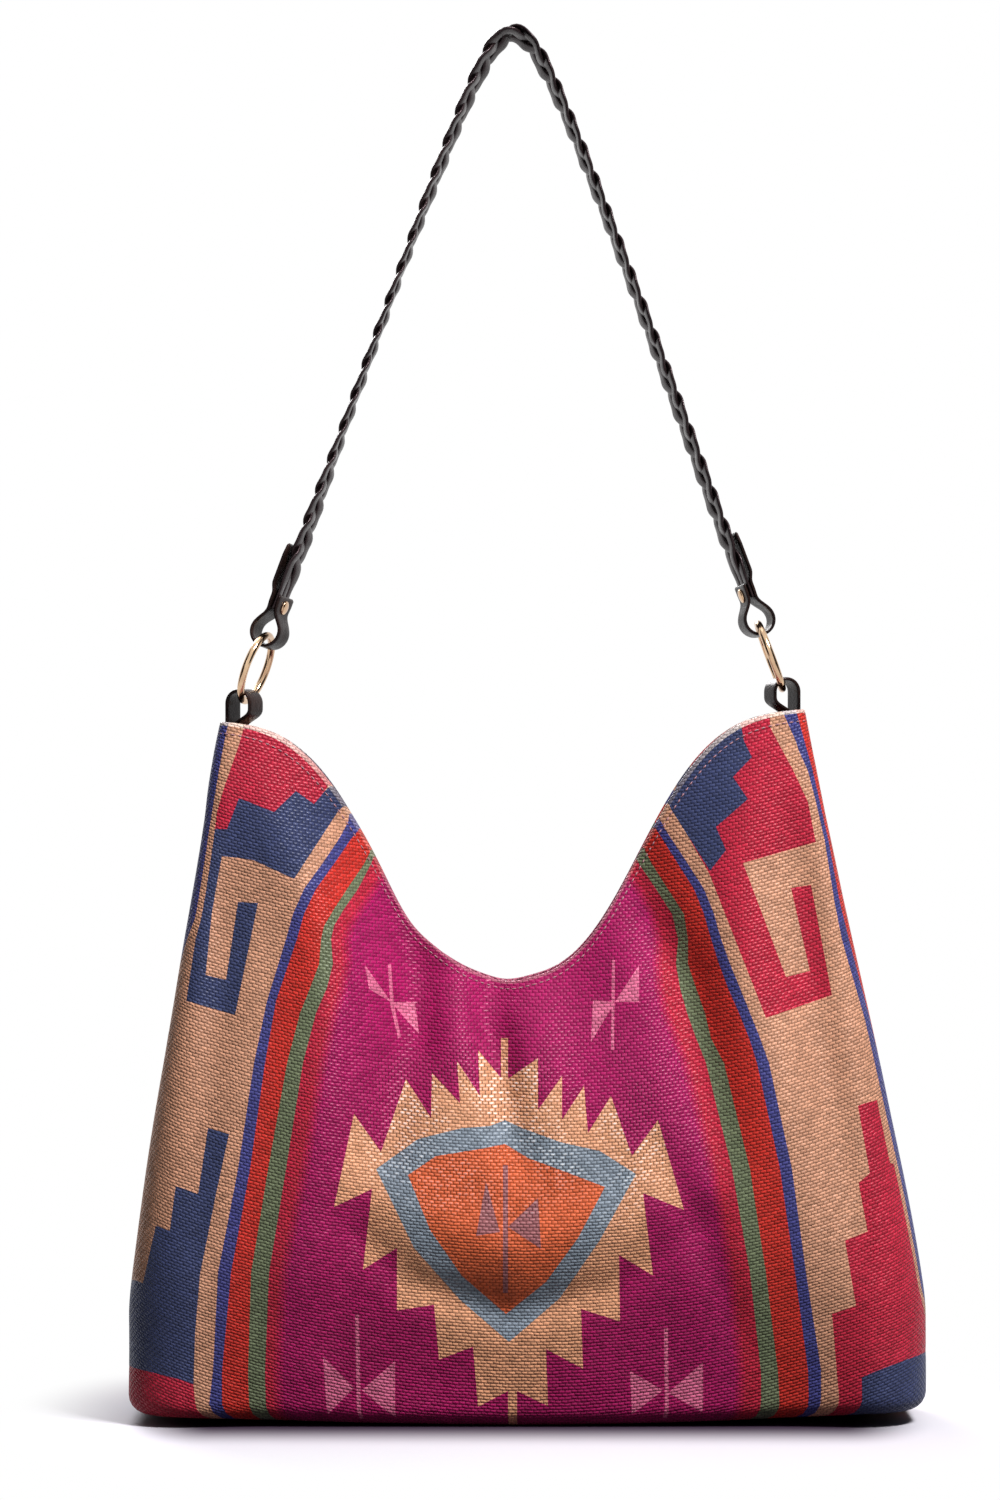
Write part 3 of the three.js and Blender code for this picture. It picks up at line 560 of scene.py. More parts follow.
def make_mesh(name, points, faces, uv=None, tint=None, smooth=True):
    """An object from points in millimetres, faces, UV per point and colour per face."""
    mesh = bpy.data.meshes.new(name)
    mesh.from_pydata((np.asarray(points, float) * 0.001).tolist(), [], faces)
    corner = np.empty(len(mesh.loops), np.int32)
    mesh.loops.foreach_get("vertex_index", corner)
    if uv is not None:
        layer = mesh.uv_layers.new(name="Cloth")
        layer.data.foreach_set("uv", np.asarray(uv, np.float32)[corner].ravel())
    if tint is not None:
        attribute = mesh.color_attributes.new("Print", "FLOAT_COLOR", "CORNER")
        sizes = np.array([len(f) for f in faces])
        rgba = np.ones((len(corner), 4), np.float32)
        rgba[:, :3] = np.repeat(np.asarray(tint, np.float32), sizes, axis=0)
        attribute.data.foreach_set("color", rgba.ravel())
    mesh.polygons.foreach_set("use_smooth", np.full(len(mesh.polygons), smooth))
    mesh.update()
    obj = bpy.data.objects.new(name, mesh)
    bpy.context.scene.collection.objects.link(obj)
    return obj


def grid_faces(rows, columns, wrap=False, closed=False):
    """Faces of a grid whose rows may wrap round, and whose last row may join the first."""
    faces = []
    for r in range(rows if closed else rows - 1):
        for c in range(columns if wrap else columns - 1):
            low = r * columns
            high = (r + 1) % rows * columns
            after = (c + 1) % columns
            faces.append((low + c, low + after, high + after, high + c))
    return faces


def flipped(faces):
    return [f[::-1] for f in faces]


def tube_faces(rows, columns):
    """Faces of a tube closed at both ends."""
    faces = grid_faces(rows, columns, wrap=True)
    faces.append(tuple(range(columns))[::-1])
    faces.append(tuple(range((rows - 1) * columns, rows * columns)))
    return faces


def sheet_grid(*spans):
    """P and T of a grid over the sheet, its rows even over each span of T."""
    T = np.unique(np.concatenate([np.linspace(*span) for span in spans]))
    P = np.linspace(-SHEET_HALF, SHEET_HALF, SHEET_COLUMNS)
    return [axis.ravel() for axis in np.meshgrid(P, T)]


# Grid points this near an edge of the print are left out
EDGE_CLEAR = 1.0

# The rim is pale, and paler towards the corners
RIM_FACES = 0.6
RIM_PALE = 0.12
RIM_PALER = 0.5
RIM_PALER_AT = (110, 190)


def printed_sheet(name, front):
    """Half the bag's cloth, cut along the edges of the print."""
    fields = pattern_fields()
    low = np.array([-SHEET_HALF, BASE_START])
    high = np.array([SHEET_HALF, FACING_END])
    spans = (BASE_START, 0, 12), (0, EDGE_END, 6), (EDGE_END, WALL_END - 4, 84), (RIM_END, FACING_END, 9)
    grid = np.stack(sheet_grid(*spans), -1)
    grid = grid[grid[:, 1] != RIM_END]
    on_border = np.any((grid < low + 0.01) | (grid > high - 0.01), axis=1)
    keep = np.ones(len(grid), bool)
    points, edges = [], []
    for height in [WALL_END - 2] + np.linspace(WALL_END - RIM_FACES, RIM_END, 7).tolist():
        edges += [(len(points) + i, len(points) + i + 1) for i in range(RIM_STEPS)]
        points += [[x, height] for x in np.linspace(-SHEET_HALF, SHEET_HALF, RIM_STEPS + 1)]
    for _, outline in fields:
        clipped = np.clip(outline, low, high)
        for i, (a, b) in enumerate(zip(clipped, np.roll(clipped, -1, axis=0))):
            if np.linalg.norm(b - a) < 1e-6:
                continue
            edges.append((len(points) + i, len(points) + (i + 1) % len(clipped)))
            reach = 1.2 * EDGE_CLEAR
            close = np.all((grid > np.minimum(a, b) - reach) & (grid < np.maximum(a, b) + reach), axis=1)
            g = grid[close] - a
            t = np.clip((g @ (b - a)) / ((b - a) @ (b - a)), 0, 1)
            clear = np.linalg.norm(g - t[:, None] * (b - a), axis=1) >= EDGE_CLEAR
            keep[close] &= clear | on_border[close]
        points += clipped.tolist()
    points += grid[keep].tolist()
    edges += [(len(points) + i, len(points) + (i + 1) % 4) for i in range(4)]
    points += [low, (high[0], low[1]), high, (low[0], high[1])]
    cut = delaunay_2d_cdt([Vector(p) for p in points], edges, [], 1, 0.05)
    flat = np.array([tuple(v) for v in cut[0]])
    faces = [f for f in cut[2] if len(f) >= 3]
    centre = np.array([flat[list(f)].mean(axis=0) for f in faces])
    tint = np.tile(linear(INK["magenta"]), (len(faces), 1))
    for colour, outline in fields:
        tint[inside(centre, outline)] = linear(INK[colour])
    rim = (centre[:, 1] > WALL_END - RIM_FACES) & (centre[:, 1] < RIM_END)
    pale = (RIM_PALE + RIM_PALER * smoothstep(np.abs(centre[rim, 0]), *RIM_PALER_AT))[:, None]
    tint[rim] = (1 - pale) * tint[rim] + pale * linear(INK["rim"])
    place, run, height = cloth_point(flat[:, 0], flat[:, 1], front)
    uv = np.stack([run, height - ROW_SAG * run ** 2], -1)
    return make_mesh(name, place, faces if front else flipped(faces), uv, tint)


# Materials

class Nodes:
    """Shader nodes of a material or the world."""

    def __init__(self, owner, output):
        owner.use_nodes = True
        self.tree = owner.node_tree
        self.tree.nodes.clear()
        self.out = self.add(output)

    def plug(self, socket, value):
        if isinstance(value, bpy.types.NodeSocket):
            self.tree.links.new(value, socket)
        elif isinstance(value, tuple):
            socket.default_value = value + (1.0,) * (len(socket.default_value) - len(value))
        else:
            socket.default_value = value

    def add(self, kind, *inputs, **settings):
        """A new node, its inputs filled in order apart from those given as None."""
        node = self.tree.nodes.new("ShaderNode" + kind)
        for name, value in settings.items():
            setattr(node, name, value)
        for socket, value in zip(node.inputs, inputs):
            if value is not None:
                self.plug(socket, value)
        return node

    def math(self, operation, a, b=None):
        return self.add("Math", a, b, operation=operation).outputs[0]

    def cloth_place(self):
        """Place on the sheet, as a vector and as its two numbers."""
        vector = self.add("UVMap", uv_map="Cloth").outputs[0]
        split = self.add("SeparateXYZ", vector)
        return vector, split.outputs[0], split.outputs[1]

    def object_place(self):
        return self.add("TexCoord").outputs["Object"]

    def noise(self, vector, scale, detail=3.0):
        return self.add("TexNoise", vector, None, scale, detail, NOISE_ROUGHNESS).outputs[0]

    def white(self, a, b):
        pair = self.add("CombineXYZ", a, b).outputs[0]
        return self.add("TexWhiteNoise", pair, noise_dimensions="2D").outputs["Value"]

    def ramp(self, value, low, high, to_low, to_high):
        node = self.add("MapRange", value, low, high, to_low, to_high, interpolation_type="SMOOTHSTEP")
        return node.outputs[0]

    def mix(self, factor, a, b, mode="MIX"):
        unused = [None] * 5
        return self.add("Mix", factor, *unused, a, b, data_type="RGBA", blend_type=mode).outputs[2]

    def darken(self, colour, amount):
        """The colour times one number."""
        grey = self.add("CombineColor", amount, amount, amount).outputs[0]
        return self.mix(1.0, colour, grey, "MULTIPLY")

    def bump(self, height, distance, strength):
        node = self.add("Bump", strength, distance)
        self.plug(node.inputs["Height"], height)
        return node.outputs[0]

    def seen(self):
        """1 for what is seen straight on, in a reflection or through a clear piece."""
        ray = self.add("LightPath").outputs
        direct = self.math("MAXIMUM", ray["Is Camera Ray"], ray["Is Glossy Ray"])
        return self.math("MAXIMUM", direct, ray["Is Transmission Ray"])


class Surface(Nodes):
    """A material with one principled shader."""

    def __init__(self, name):
        self.material = bpy.data.materials.new(name)
        super().__init__(self.material, "OutputMaterial")
        self.shader = self.add("BsdfPrincipled")
        self.plug(self.out.inputs[0], self.shader.outputs[0])

    def set(self, **values):
        for name, value in values.items():
            self.plug(self.shader.inputs[name.replace("_", " ")], value)


def weave(n, long, row, u, v):
    """Height of a weave, how near a thread's middle along and across it, and a number per thread."""
    line = n.math("DIVIDE", v, row)
    row_number = n.math("FLOOR", line)
    across = n.math("FRACT", line)
    odd = n.math("MODULO", n.math("ABSOLUTE", row_number), 2.0)
    run = n.math("ADD", n.math("DIVIDE", u, long), n.math("MULTIPLY", odd, 0.5))
    number = n.math("FLOOR", run)
    along = n.math("FRACT", run)
    a = n.math("POWER", n.math("SINE", n.math("MULTIPLY", along, math.pi)), THREAD_LONG_ROUND)
    b = n.math("POWER", n.math("SINE", n.math("MULTIPLY", across, math.pi)), THREAD_ROUND)
    thread = n.white(number, row_number)
    other = n.white(row_number, number)
    lean = n.math("MULTIPLY", n.math("SUBTRACT", thread, 0.5), n.math("SUBTRACT", along, 0.5))
    roll = n.math("MULTIPLY", n.math("SUBTRACT", other, 0.5), n.math("SUBTRACT", across, 0.5))
    slant = n.math("ADD", n.math("MULTIPLY", lean, THREAD_LEAN), roll)
    return n.math("ADD", n.math("MULTIPLY", a, b), slant), a, b, thread


def cloth_material():
    """Printed weave with painted shade between its threads and painted glints on thread crests, both
    strongest over the belly.
    """
    n = Surface("woven_print")
    vector, u, v = n.cloth_place()
    wobble = n.math("MULTIPLY", n.math("SUBTRACT", n.noise(vector, 0.12, 2.0), 0.5), YARN_WOBBLE)
    height, along, across, thread = weave(
        n, YARN_LONG, YARN_ROW, n.math("ADD", u, wobble), n.math("ADD", v, wobble))
    ink = n.add("Attribute", attribute_name="Print").outputs["Color"]
    # Over the belly, broken into patches, the painted shade in the weave's gaps deepens and painted glints
    # show
    off_x = n.math("DIVIDE", u, SHADE_GLINT_WIDTH)
    off_z = n.math("DIVIDE", n.math("SUBTRACT", v, SHADE_GLINT_HEIGHT), SHADE_GLINT_TALL)
    off = n.math("SQRT", n.math("ADD", n.math("MULTIPLY", off_x, off_x), n.math("MULTIPLY", off_z, off_z)))
    patches = n.ramp(n.noise(vector, 0.022, 2.0), 0.4, 0.6, 0.1, 1.0)
    shade_and_glint_patch = n.math("MULTIPLY", n.ramp(off, 0.55, 1.15, 1.0, 0.0), patches)
    # Painted shade: thread ends and the grooves between rows are darkened, most inside the glint patch
    gap = n.ramp(along, 0.1, 0.75, n.ramp(shade_and_glint_patch, 0.0, 1.0, 0.5, 0.0), 1.08)
    groove = n.ramp(across, 0.0, 0.6, n.ramp(shade_and_glint_patch, 0.0, 1.0, 0.82, 0.6), 1.04)
    gap_shade = n.math("MULTIPLY", gap, groove)
    own = n.ramp(thread, 0.0, 1.0, 0.84, 1.14)
    worn = n.ramp(n.noise(vector, 0.03, 4.0), 0.3, 0.75, 0.93, 1.06)
    base = n.darken(ink, n.math("MULTIPLY", n.math("MULTIPLY", gap_shade, own), worn))
    crest = n.math("MULTIPLY", along, across)
    # Painted highlight: the crests of some threads are mixed towards near white, whiter for paler inks
    glint_threads = n.math("MULTIPLY", shade_and_glint_patch, n.ramp(thread, 0.2, 0.9, 0.0, 1.0))
    glint = n.math("MULTIPLY", n.ramp(crest, 0.6, 1.0, 0.0, 0.9), glint_threads)
    green = n.add("SeparateColor", ink).outputs[1]
    pale = n.ramp(green, 0.02, 0.3, 0.05, 0.8)
    base = n.mix(glint, base, n.mix(pale, ink, (0.92, 0.93, 0.95)))
    n.set(Base_Color=base, Roughness=n.ramp(crest, 0.4, 1.0, 0.7, 0.3), Specular_IOR_Level=0.2)
    n.set(Sheen_Weight=0.03, Sheen_Roughness=0.4, Normal=n.bump(height, 0.0005, 0.9))
    return n.material


def plain_weave_material(name, colour, long, row):
    n = Surface(name)
    height, along, across, thread = weave(n, long, row, *n.cloth_place()[1:])
    crest = n.math("MULTIPLY", along, across)
    shade = n.math("MULTIPLY", n.ramp(crest, 0.1, 0.7, 0.6, 1.0), n.ramp(thread, 0.0, 1.0, 0.9, 1.08))
    n.set(Base_Color=n.darken(colour, shade), Roughness=0.85, Sheen_Weight=0.2)
    n.set(Normal=n.bump(height, 0.0002, 0.6))
    return n.material


def leather_material(name, colour, warm, gloss):
    """Dark grained leather with warmer patches."""
    n = Surface(name)
    place = n.object_place()
    grain = n.add("TexVoronoi", place, None, 900.0).outputs["Distance"]
    fine = n.noise(place, 2600.0)
    patches = n.ramp(n.noise(place, 60.0, 4.0), 0.35, 0.75, 0.0, 1.0)
    crackle = n.ramp(grain, 0.0, 0.6, 1.0, 0.55)
    polish = n.ramp(n.noise(place, 140.0), 0.3, 0.7, 0.14, 0.32)
    n.set(Base_Color=n.darken(n.mix(patches, colour, warm), crackle))
    n.set(Roughness=n.math("ADD", polish, n.math("MULTIPLY", fine, 0.1)))
    n.set(Specular_IOR_Level=gloss, Specular_Tint=(1.0, 0.74, 0.8))
    n.set(Coat_Weight=0.02, Coat_Roughness=0.1)
    height = n.math("ADD", n.math("MULTIPLY", grain, 0.7), n.math("MULTIPLY", fine, 0.3))
    n.set(Normal=n.bump(height, 0.00025, 0.5))
    return n.material


def gold_material():
    n = Surface("pale_gold")
    place = n.object_place()
    dull = n.noise(place, 90.0, 4.0)
    base = n.mix(n.ramp(dull, 0.3, 0.75, 0.0, 1.0), (0.74, 0.52, 0.33), (0.55, 0.35, 0.22))
    n.set(Base_Color=base, Metallic=1.0, Roughness=n.ramp(dull, 0.3, 0.8, 0.12, 0.26))
    n.set(Normal=n.bump(n.noise(place, 1500.0, 2.0), 0.00003, 0.4))
    return n.material


def board_material():
    n = Surface("base_board_fibre")
    fibre = n.noise(n.object_place(), 700.0, 4.0)
    n.set(Base_Color=n.mix(n.ramp(fibre, 0.3, 0.7, 0.0, 1.0), (0.09, 0.08, 0.07), (0.14, 0.12, 0.10)))
    n.set(Roughness=0.85, Normal=n.bump(fibre, 0.0002, 0.5))
    return n.material


CLOTH = cloth_material()
LINING = plain_weave_material("lining_weave", (0.58, 0.47, 0.33), 0.9, 0.6)
THREAD = plain_weave_material("stitch_thread", (0.50, 0.24, 0.28), 0.5, 0.4)
BRAID_LEATHER = leather_material("strap_leather", (0.014, 0.009, 0.010), (0.034, 0.020, 0.021), 0.24)
TAB_LEATHER = leather_material("tab_leather", (0.012, 0.008, 0.008), (0.040, 0.020, 0.016), 0.09)
GOLD = gold_material()
BOARD = board_material()


def finish_piece(obj, material, body, slot, *nodes):
    obj.data.materials.clear()
    obj.data.materials.append(material)
    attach(obj, body)
    if nodes:
        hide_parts(*nodes)


# Bag cloth

front_cloth = printed_sheet("front_cloth", True)
finish_piece(front_cloth, CLOTH, "bag", "woven_cloth", "front_panel", "facing_front")
back_cloth = printed_sheet("back_cloth", False)
finish_piece(back_cloth, CLOTH, "bag", "woven_cloth", "back_panel", "facing_back")


def lining_sheet(name, front):
    P, T = sheet_grid((BASE_START, 0, 10), (0, EDGE_END, 5), (EDGE_END, WALL_END - 26, 60))
    place, run, height = cloth_point(P, T, front, LINING_INSET)
    place[:, 2] = np.maximum(place[:, 2] * LINING_SQUASH, 0) + LINING_LIFT
    faces = grid_faces(len(P) // SHEET_COLUMNS, SHEET_COLUMNS)
    return make_mesh(name, place, faces if front else flipped(faces), np.stack([run, height], -1))


for front, word in ((True, "front"), (False, "back")):
    sheet = lining_sheet("lining_" + word + "_cloth", front)
    finish_piece(sheet, LINING, "bag", "lining_cloth", "lining_" + word)

POCKET_X = (-75, 69)
POCKET_Z = (66, 172)
POCKET_GAP = 1.4
POCKET_SAG = 2.2


def thicken(obj, thickness):
    ply = obj.modifiers.new("ply", "SOLIDIFY")
    ply.thickness = thickness / 1000
    ply.offset = 0
    return obj


def pocket_sheet():
    """Slip pocket on the back lining, its mouth sagging a little."""
    x, z = (axis.ravel() for axis in np.meshgrid(np.linspace(*POCKET_X, 37), np.linspace(*POCKET_Z, 28)))
    P, T = sheet_from_plane(2 * shift_at(z) - x, z)
    place = cloth_point(P, T, False, LINING_INSET + POCKET_GAP)[0]
    across = (x - POCKET_X[0]) / (POCKET_X[1] - POCKET_X[0])
    place[:, 1] -= POCKET_SAG * np.sin(math.pi * across) * smoothstep(z, 110, POCKET_Z[1])
    return thicken(make_mesh("pocket_cloth", place, grid_faces(28, 37), np.stack([x, z], -1)), 0.7)


pocket = pocket_sheet()
finish_piece(pocket, LINING, "bag", "lining_cloth", "slip_pocket")


# Base board

def board_mesh():
    """The stiffener, bent up a little towards its ends as the base is."""
    low, high = (np.array(v) * 1000 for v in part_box("base_board"))
    middle, half = (low + high) / 2, (high - low) / 2
    gx, gy = (axis.ravel() for axis in np.meshgrid(np.linspace(-1, 1, 61), np.linspace(-1, 1, 17)))
    from_middle = half[0] * np.abs(gx)
    x = middle[0] + half[0] * gx
    reach = np.clip((from_middle - half[0] + BOARD_CORNER) / BOARD_CORNER, 0, 1)
    slim = TUCK * (1 - smoothstep(from_middle, 0.5 * half[0], half[0]))
    y = middle[1] + (half[1] - slim - BOARD_CORNER * (1 - np.sqrt(1 - reach ** 2))) * gy
    place = np.stack([x, y, middle[2] + corner_lift(x, np.zeros_like(x))], -1)
    return thicken(make_mesh("base_board_ply", place, grid_faces(17, 61), place[:, :2]), 2 * half[2])


finish_piece(board_mesh(), BOARD, "bag", "board", "base_board")


# Lines, circles and tubes

def run_along(line):
    """Length along a polyline at each of its points."""
    gaps = np.linalg.norm(np.diff(line, axis=0), axis=1)
    return np.concatenate([[0], np.cumsum(gaps)])


def line_at(s, run, line):
    """Points of a polyline at lengths along it."""
    return np.stack([np.interp(s, run, column) for column in line.T], -1)


def even_steps(line, step):
    line = np.asarray(line, float)
    run = run_along(line)
    s = np.linspace(0, run[-1], max(2, round(run[-1] / step)) + 1)
    return line_at(s, run, line), s


def unit(vectors):
    return vectors / np.linalg.norm(vectors, axis=1)[:, None]


def circle(count):
    return np.linspace(0, 2 * math.pi, count, endpoint=False)


def placed(local, matrix):
    return [matrix @ Vector(p) for p in local.reshape(-1, 3)]


def tube_uv(run, across):
    return np.stack(np.broadcast_arrays(run[:, None], across), -1).reshape(-1, 2)


# Stitches along the mouth

STITCH_LENGTH = 2.4
STITCH_PITCH = 3.6
STITCH_DROP = 4.5
STITCH_REACH = SHEET_HALF * 0.985
STITCH_RINGS = 5
STITCH_SIDES = 6


def stitch_row(name, front):
    """A row of small thread loops that follows the mouth."""
    P = np.linspace(-STITCH_REACH, STITCH_REACH, 1500)
    line = cloth_point(P, np.full_like(P, WALL_END - STITCH_DROP), front)[0]
    run = run_along(line)
    out = np.array([0.0, -1.0 if front else 1.0, 0.0])
    turn = circle(STITCH_SIDES)[:, None]
    steps = np.linspace(0, 1, STITCH_RINGS)
    bow = np.sin(math.pi * steps)[:, None]
    loops, faces = [], []
    ring_faces = np.array(grid_faces(STITCH_RINGS, STITCH_SIDES, wrap=True))
    start = STITCH_PITCH / 2
    while start + STITCH_LENGTH < run[-1]:
        s = start + STITCH_LENGTH * steps
        at = line_at(s, run, line)
        up = np.cross(unit(line_at(s + 0.4, run, line) - at), out)
        centre = at + out * (0.25 * bow - 0.05)
        ring = np.cos(turn) * out + np.sin(turn) * up[:, None]
        faces += (ring_faces + len(loops) * STITCH_RINGS * STITCH_SIDES).tolist()
        loops.append(centre[:, None] + (0.12 + 0.3 * bow)[..., None] * ring)
        start += STITCH_PITCH
    points = np.reshape(loops, (-1, 3))
    return make_mesh(name, points, faces, points[:, [0, 2]])


stitches = []
for front, word in ((True, "front"), (False, "back")):
    stitches.append(stitch_row("mouth_stitches_" + word, front))
    finish_piece(stitches[-1], THREAD, "bag", "woven_cloth")


# Rings, tabs, strap ends and rivets

RING_RADIUS = 17.5
WIRE_RADIUS = 1.9
LEAN = math.radians(20.5)
TAB_WIDTH = 14
TAB_PLY = 1.8
TAB_HOLE = 5.6
TAB_CROWN = 4.1
TAB_MEET = 13
TAB_LENGTH = 34
END_WIDTH = 14
END_PLY = 1.8
END_HOLE = 6.6
END_ROOM = 4.75
END_THROAT = 29.5
INNER_PLY_TOP = 39
TAIL_TOP = 65
TAIL_FLARE = 7
RIVET_HEIGHT = 33.5
END_SPREAD = [(END_THROAT - 6, 1.0), (END_THROAT + 5, 1.36), (TAIL_TOP - 6, 1.36), (TAIL_TOP, 1.15)]
STRAND_END_THICK = 1.6
FIT = 0.3
TURN = {-1: math.pi, 1: 0}
RING_YAW = {-1: math.radians(14), 1: math.radians(-1)}
END_YAW = {-1: math.radians(20), 1: math.radians(12)}
TAB_YAW = {-1: math.radians(26), 1: math.radians(20)}


def ring_centre(sign):
    low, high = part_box("ring_left" if sign < 0 else "ring_right")
    return (Vector(low) + Vector(high)) * 500


def lean_up(sign):
    return Vector((-sign * math.sin(LEAN), 0, math.cos(LEAN)))


def turned(angle, axis):
    return Matrix.Rotation(angle, 4, axis)


def ring_frame(sign, yaw):
    at = Matrix.Translation(ring_centre(sign)) @ turned(TURN[sign], "Z")
    return at @ turned(-LEAN, "Y") @ turned(sign * yaw, "Z")


def tab_frame(sign):
    seat = ring_centre(sign) - lean_up(sign) * RING_RADIUS
    return Matrix.Translation(seat) @ turned(TURN[sign] + sign * TAB_YAW[sign], "Z")


def bezier(a, b, c, d, count):
    t = np.linspace(0, 1, count + 1)[1:, None]
    a, b, c, d = (np.array(v, float) for v in (a, b, c, d))
    return ((1 - t) ** 3 * a + 3 * (1 - t) ** 2 * t * b + 3 * (1 - t) * t * t * c + t ** 3 * d).tolist()


def arc(cx, cz, radius, start, end, count):
    angles = np.linspace(start, end, count + 1)
    return [(cx + radius * math.cos(a), cz + radius * math.sin(a)) for a in angles]


# Step along a strip, and the length over which its ends thin out
STRIP_STEP = 0.9
STRIP_TAPER = 1.2


def rounded_section(half_width, half_thick):
    """Outline of a strip with rounded edges, as offsets across and through it."""
    c, s = np.cos(circle(28)), np.sin(circle(28))
    wide = half_width - half_thick
    x = np.sign(c) * wide * np.abs(c) ** (2 / 9) + half_thick * c * np.abs(c) ** 0.2
    return x, np.sign(s) * half_thick * np.abs(s) ** 0.4


def sweep_strip(name, line, half_width, half_thick, matrix, widths=((0, 1),)):
    """A leather strip swept along a line in its local XZ plane, its width along local Y."""
    line, run = even_steps(line, STRIP_STEP)
    tangent = unit(np.gradient(line, axis=0))
    across, through = rounded_section(half_width, half_thick)
    spread = np.interp(line[:, 1], *zip(*widths))
    from_end = np.minimum(np.minimum(run, run[-1] - run) / STRIP_TAPER, 1)
    small = np.sqrt(np.maximum(0.02, 1 - (1 - from_end) ** 2))
    off = small[:, None] * through
    wide = (spread * (0.9 + 0.1 * small))[:, None] * across
    local = np.stack([line[:, :1] + tangent[:, 1:] * off, wide, line[:, 1:] - tangent[:, :1] * off], -1)
    return make_mesh(name, placed(local, matrix), tube_faces(*off.shape), tube_uv(run, across))


def tab_line():
    mid = TAB_HOLE + TAB_PLY / 2
    spring = TAB_CROWN - TAB_HOLE
    meet = spring - TAB_MEET
    beside = TAB_HOLE - 0.3 - TAB_PLY / 2
    line = [(mid, -TAB_LENGTH), (mid, spring)]
    line += arc(0, spring, mid, 0, math.pi, 24)[1:]
    line += [(-mid, spring - 3)]
    line += bezier((-mid, spring - 3), (-mid, meet + 5), (beside, meet + 5), (beside, meet - 3), 20)
    line += [(beside, -TAB_LENGTH)]
    return line


def strap_end_line():
    half = END_PLY / 2
    clasp = STRAND_END_THICK / 2 + FIT + half
    tail = 1.5 + STRAND_END_THICK / 2 + 0.7 + half
    low = RING_RADIUS - END_ROOM + END_HOLE
    straight = INNER_PLY_TOP - 1
    flare = straight + TAIL_FLARE
    mid = END_HOLE + half
    line = [(tail, TAIL_TOP), (tail, flare)]
    line += bezier((tail, flare), (tail, flare - 3), (clasp, flare - 4), (clasp, straight), 10)
    line += [(clasp, END_THROAT + 2)]
    line += bezier((clasp, END_THROAT + 2), (clasp, END_THROAT - 2.5), (mid, low + 5.5), (mid, low), 14)
    line += arc(0, low, mid, 0, -math.pi, 26)[1:]
    line += bezier((-mid, low), (-mid, low + 5.5), (-clasp, END_THROAT - 2.5), (-clasp, END_THROAT + 2), 14)
    line += [(-clasp, INNER_PLY_TOP)]
    return line


def ring_mesh(name, matrix):
    """The wire ring, round its local X axis."""
    a, b = np.meshgrid(circle(96), circle(20), indexing="ij")
    r = RING_RADIUS + WIRE_RADIUS * np.cos(b)
    local = np.stack([WIRE_RADIUS * np.sin(b), r * np.cos(a), r * np.sin(a)], -1)
    uv = np.stack([a * RING_RADIUS, b * WIRE_RADIUS], -1).reshape(-1, 2)
    return make_mesh(name, placed(local, matrix), grid_faces(*a.shape, wrap=True, closed=True), uv)


def lathe(name, profile, matrix, steps=40):
    """A turned piece about local X, from radius and height pairs that start and end on the axis."""
    (r, h), angle = np.array(profile[1:-1]).T[..., None], circle(steps)
    local = np.stack([h + 0 * angle, r * np.cos(angle), r * np.sin(angle)], -1).reshape(-1, 3)
    tips = [(profile[0][1], 0, 0), (profile[-1][1], 0, 0)]
    points = np.array(placed(np.vstack([local, tips]), matrix))
    faces = grid_faces(len(r), steps, wrap=True)
    first, last = len(local), len(local) + 1
    faces += [((i + 1) % steps, i, first) for i in range(steps)]
    faces += [(first - steps + i, first - steps + (i + 1) % steps, last) for i in range(steps)]
    return make_mesh(name, points, faces, points[:, [0, 2]])


def rivet_profile():
    reach = STRAND_END_THICK / 2 + FIT + END_PLY + 0.1
    dome = [(3.6 * math.cos(a), reach + 0.25 + 1.05 * math.sin(a)) for a in np.linspace(0, math.pi / 2, 9)]
    half = [(1.5, 0.01), (1.5, reach), (3.45, reach), (3.6, reach + 0.12)] + dome
    half[-1] = (0, half[-1][1])
    mirrored = [(r, -h) for r, h in reversed(half)]
    return mirrored + half


for sign, word in ((-1, "left"), (1, "right")):
    at_ring = ring_frame(sign, END_YAW[sign])
    ring = ring_mesh("ring_" + word + "_wire", ring_frame(sign, RING_YAW[sign]))
    finish_piece(ring, GOLD, "ring_" + word, "pale_gold", "ring_" + word)
    tab = sweep_strip("tab_" + word + "_strip", tab_line(), TAB_WIDTH / 2, TAB_PLY / 2, tab_frame(sign))
    finish_piece(tab, TAB_LEATHER, "bag", "tab_leather", "tab_" + word)
    end_name = "strap_end_" + word
    end = sweep_strip(end_name + "_strip", strap_end_line(), END_WIDTH / 2, END_PLY / 2, at_ring, END_SPREAD)
    finish_piece(end, TAB_LEATHER, "strap", "strap_leather", end_name)
    seat = at_ring @ Matrix.Translation((0, 0, RIVET_HEIGHT))
    rivet = lathe("rivet_" + word + "_dome", rivet_profile(), seat)
    finish_piece(rivet, GOLD, "strap", "pale_gold", "rivet_" + word)


# Braided strap

STRAP_TOP = 699.4
STRAP_CROWN = 17
LEG_HEIGHTS = (END_THROAT + 1.5, 48, TAIL_TOP)
CROWN_PARTS = (0.72, 0.48, 0.29, 0.16, 0.075, 0.022)
STRAP_STEP = 1.5
STRAP_TWIST = (15, 4, 3, 9, 17, 10, 9, 12, 13)
BRAID_PITCH = 51
BRAID_EASE = 16
STRAND_WIDTH = 7.9
STRAND_THICK = 2.1
BRAID_SWAY = 6.6
BRAID_LIFT = 1.2
BRAID_TILT = math.radians(5)
STRAND_END_WIDTH = 6
STRAND_END_SPACING = 6.4
FLAT_START = INNER_PLY_TOP - END_THROAT + 1


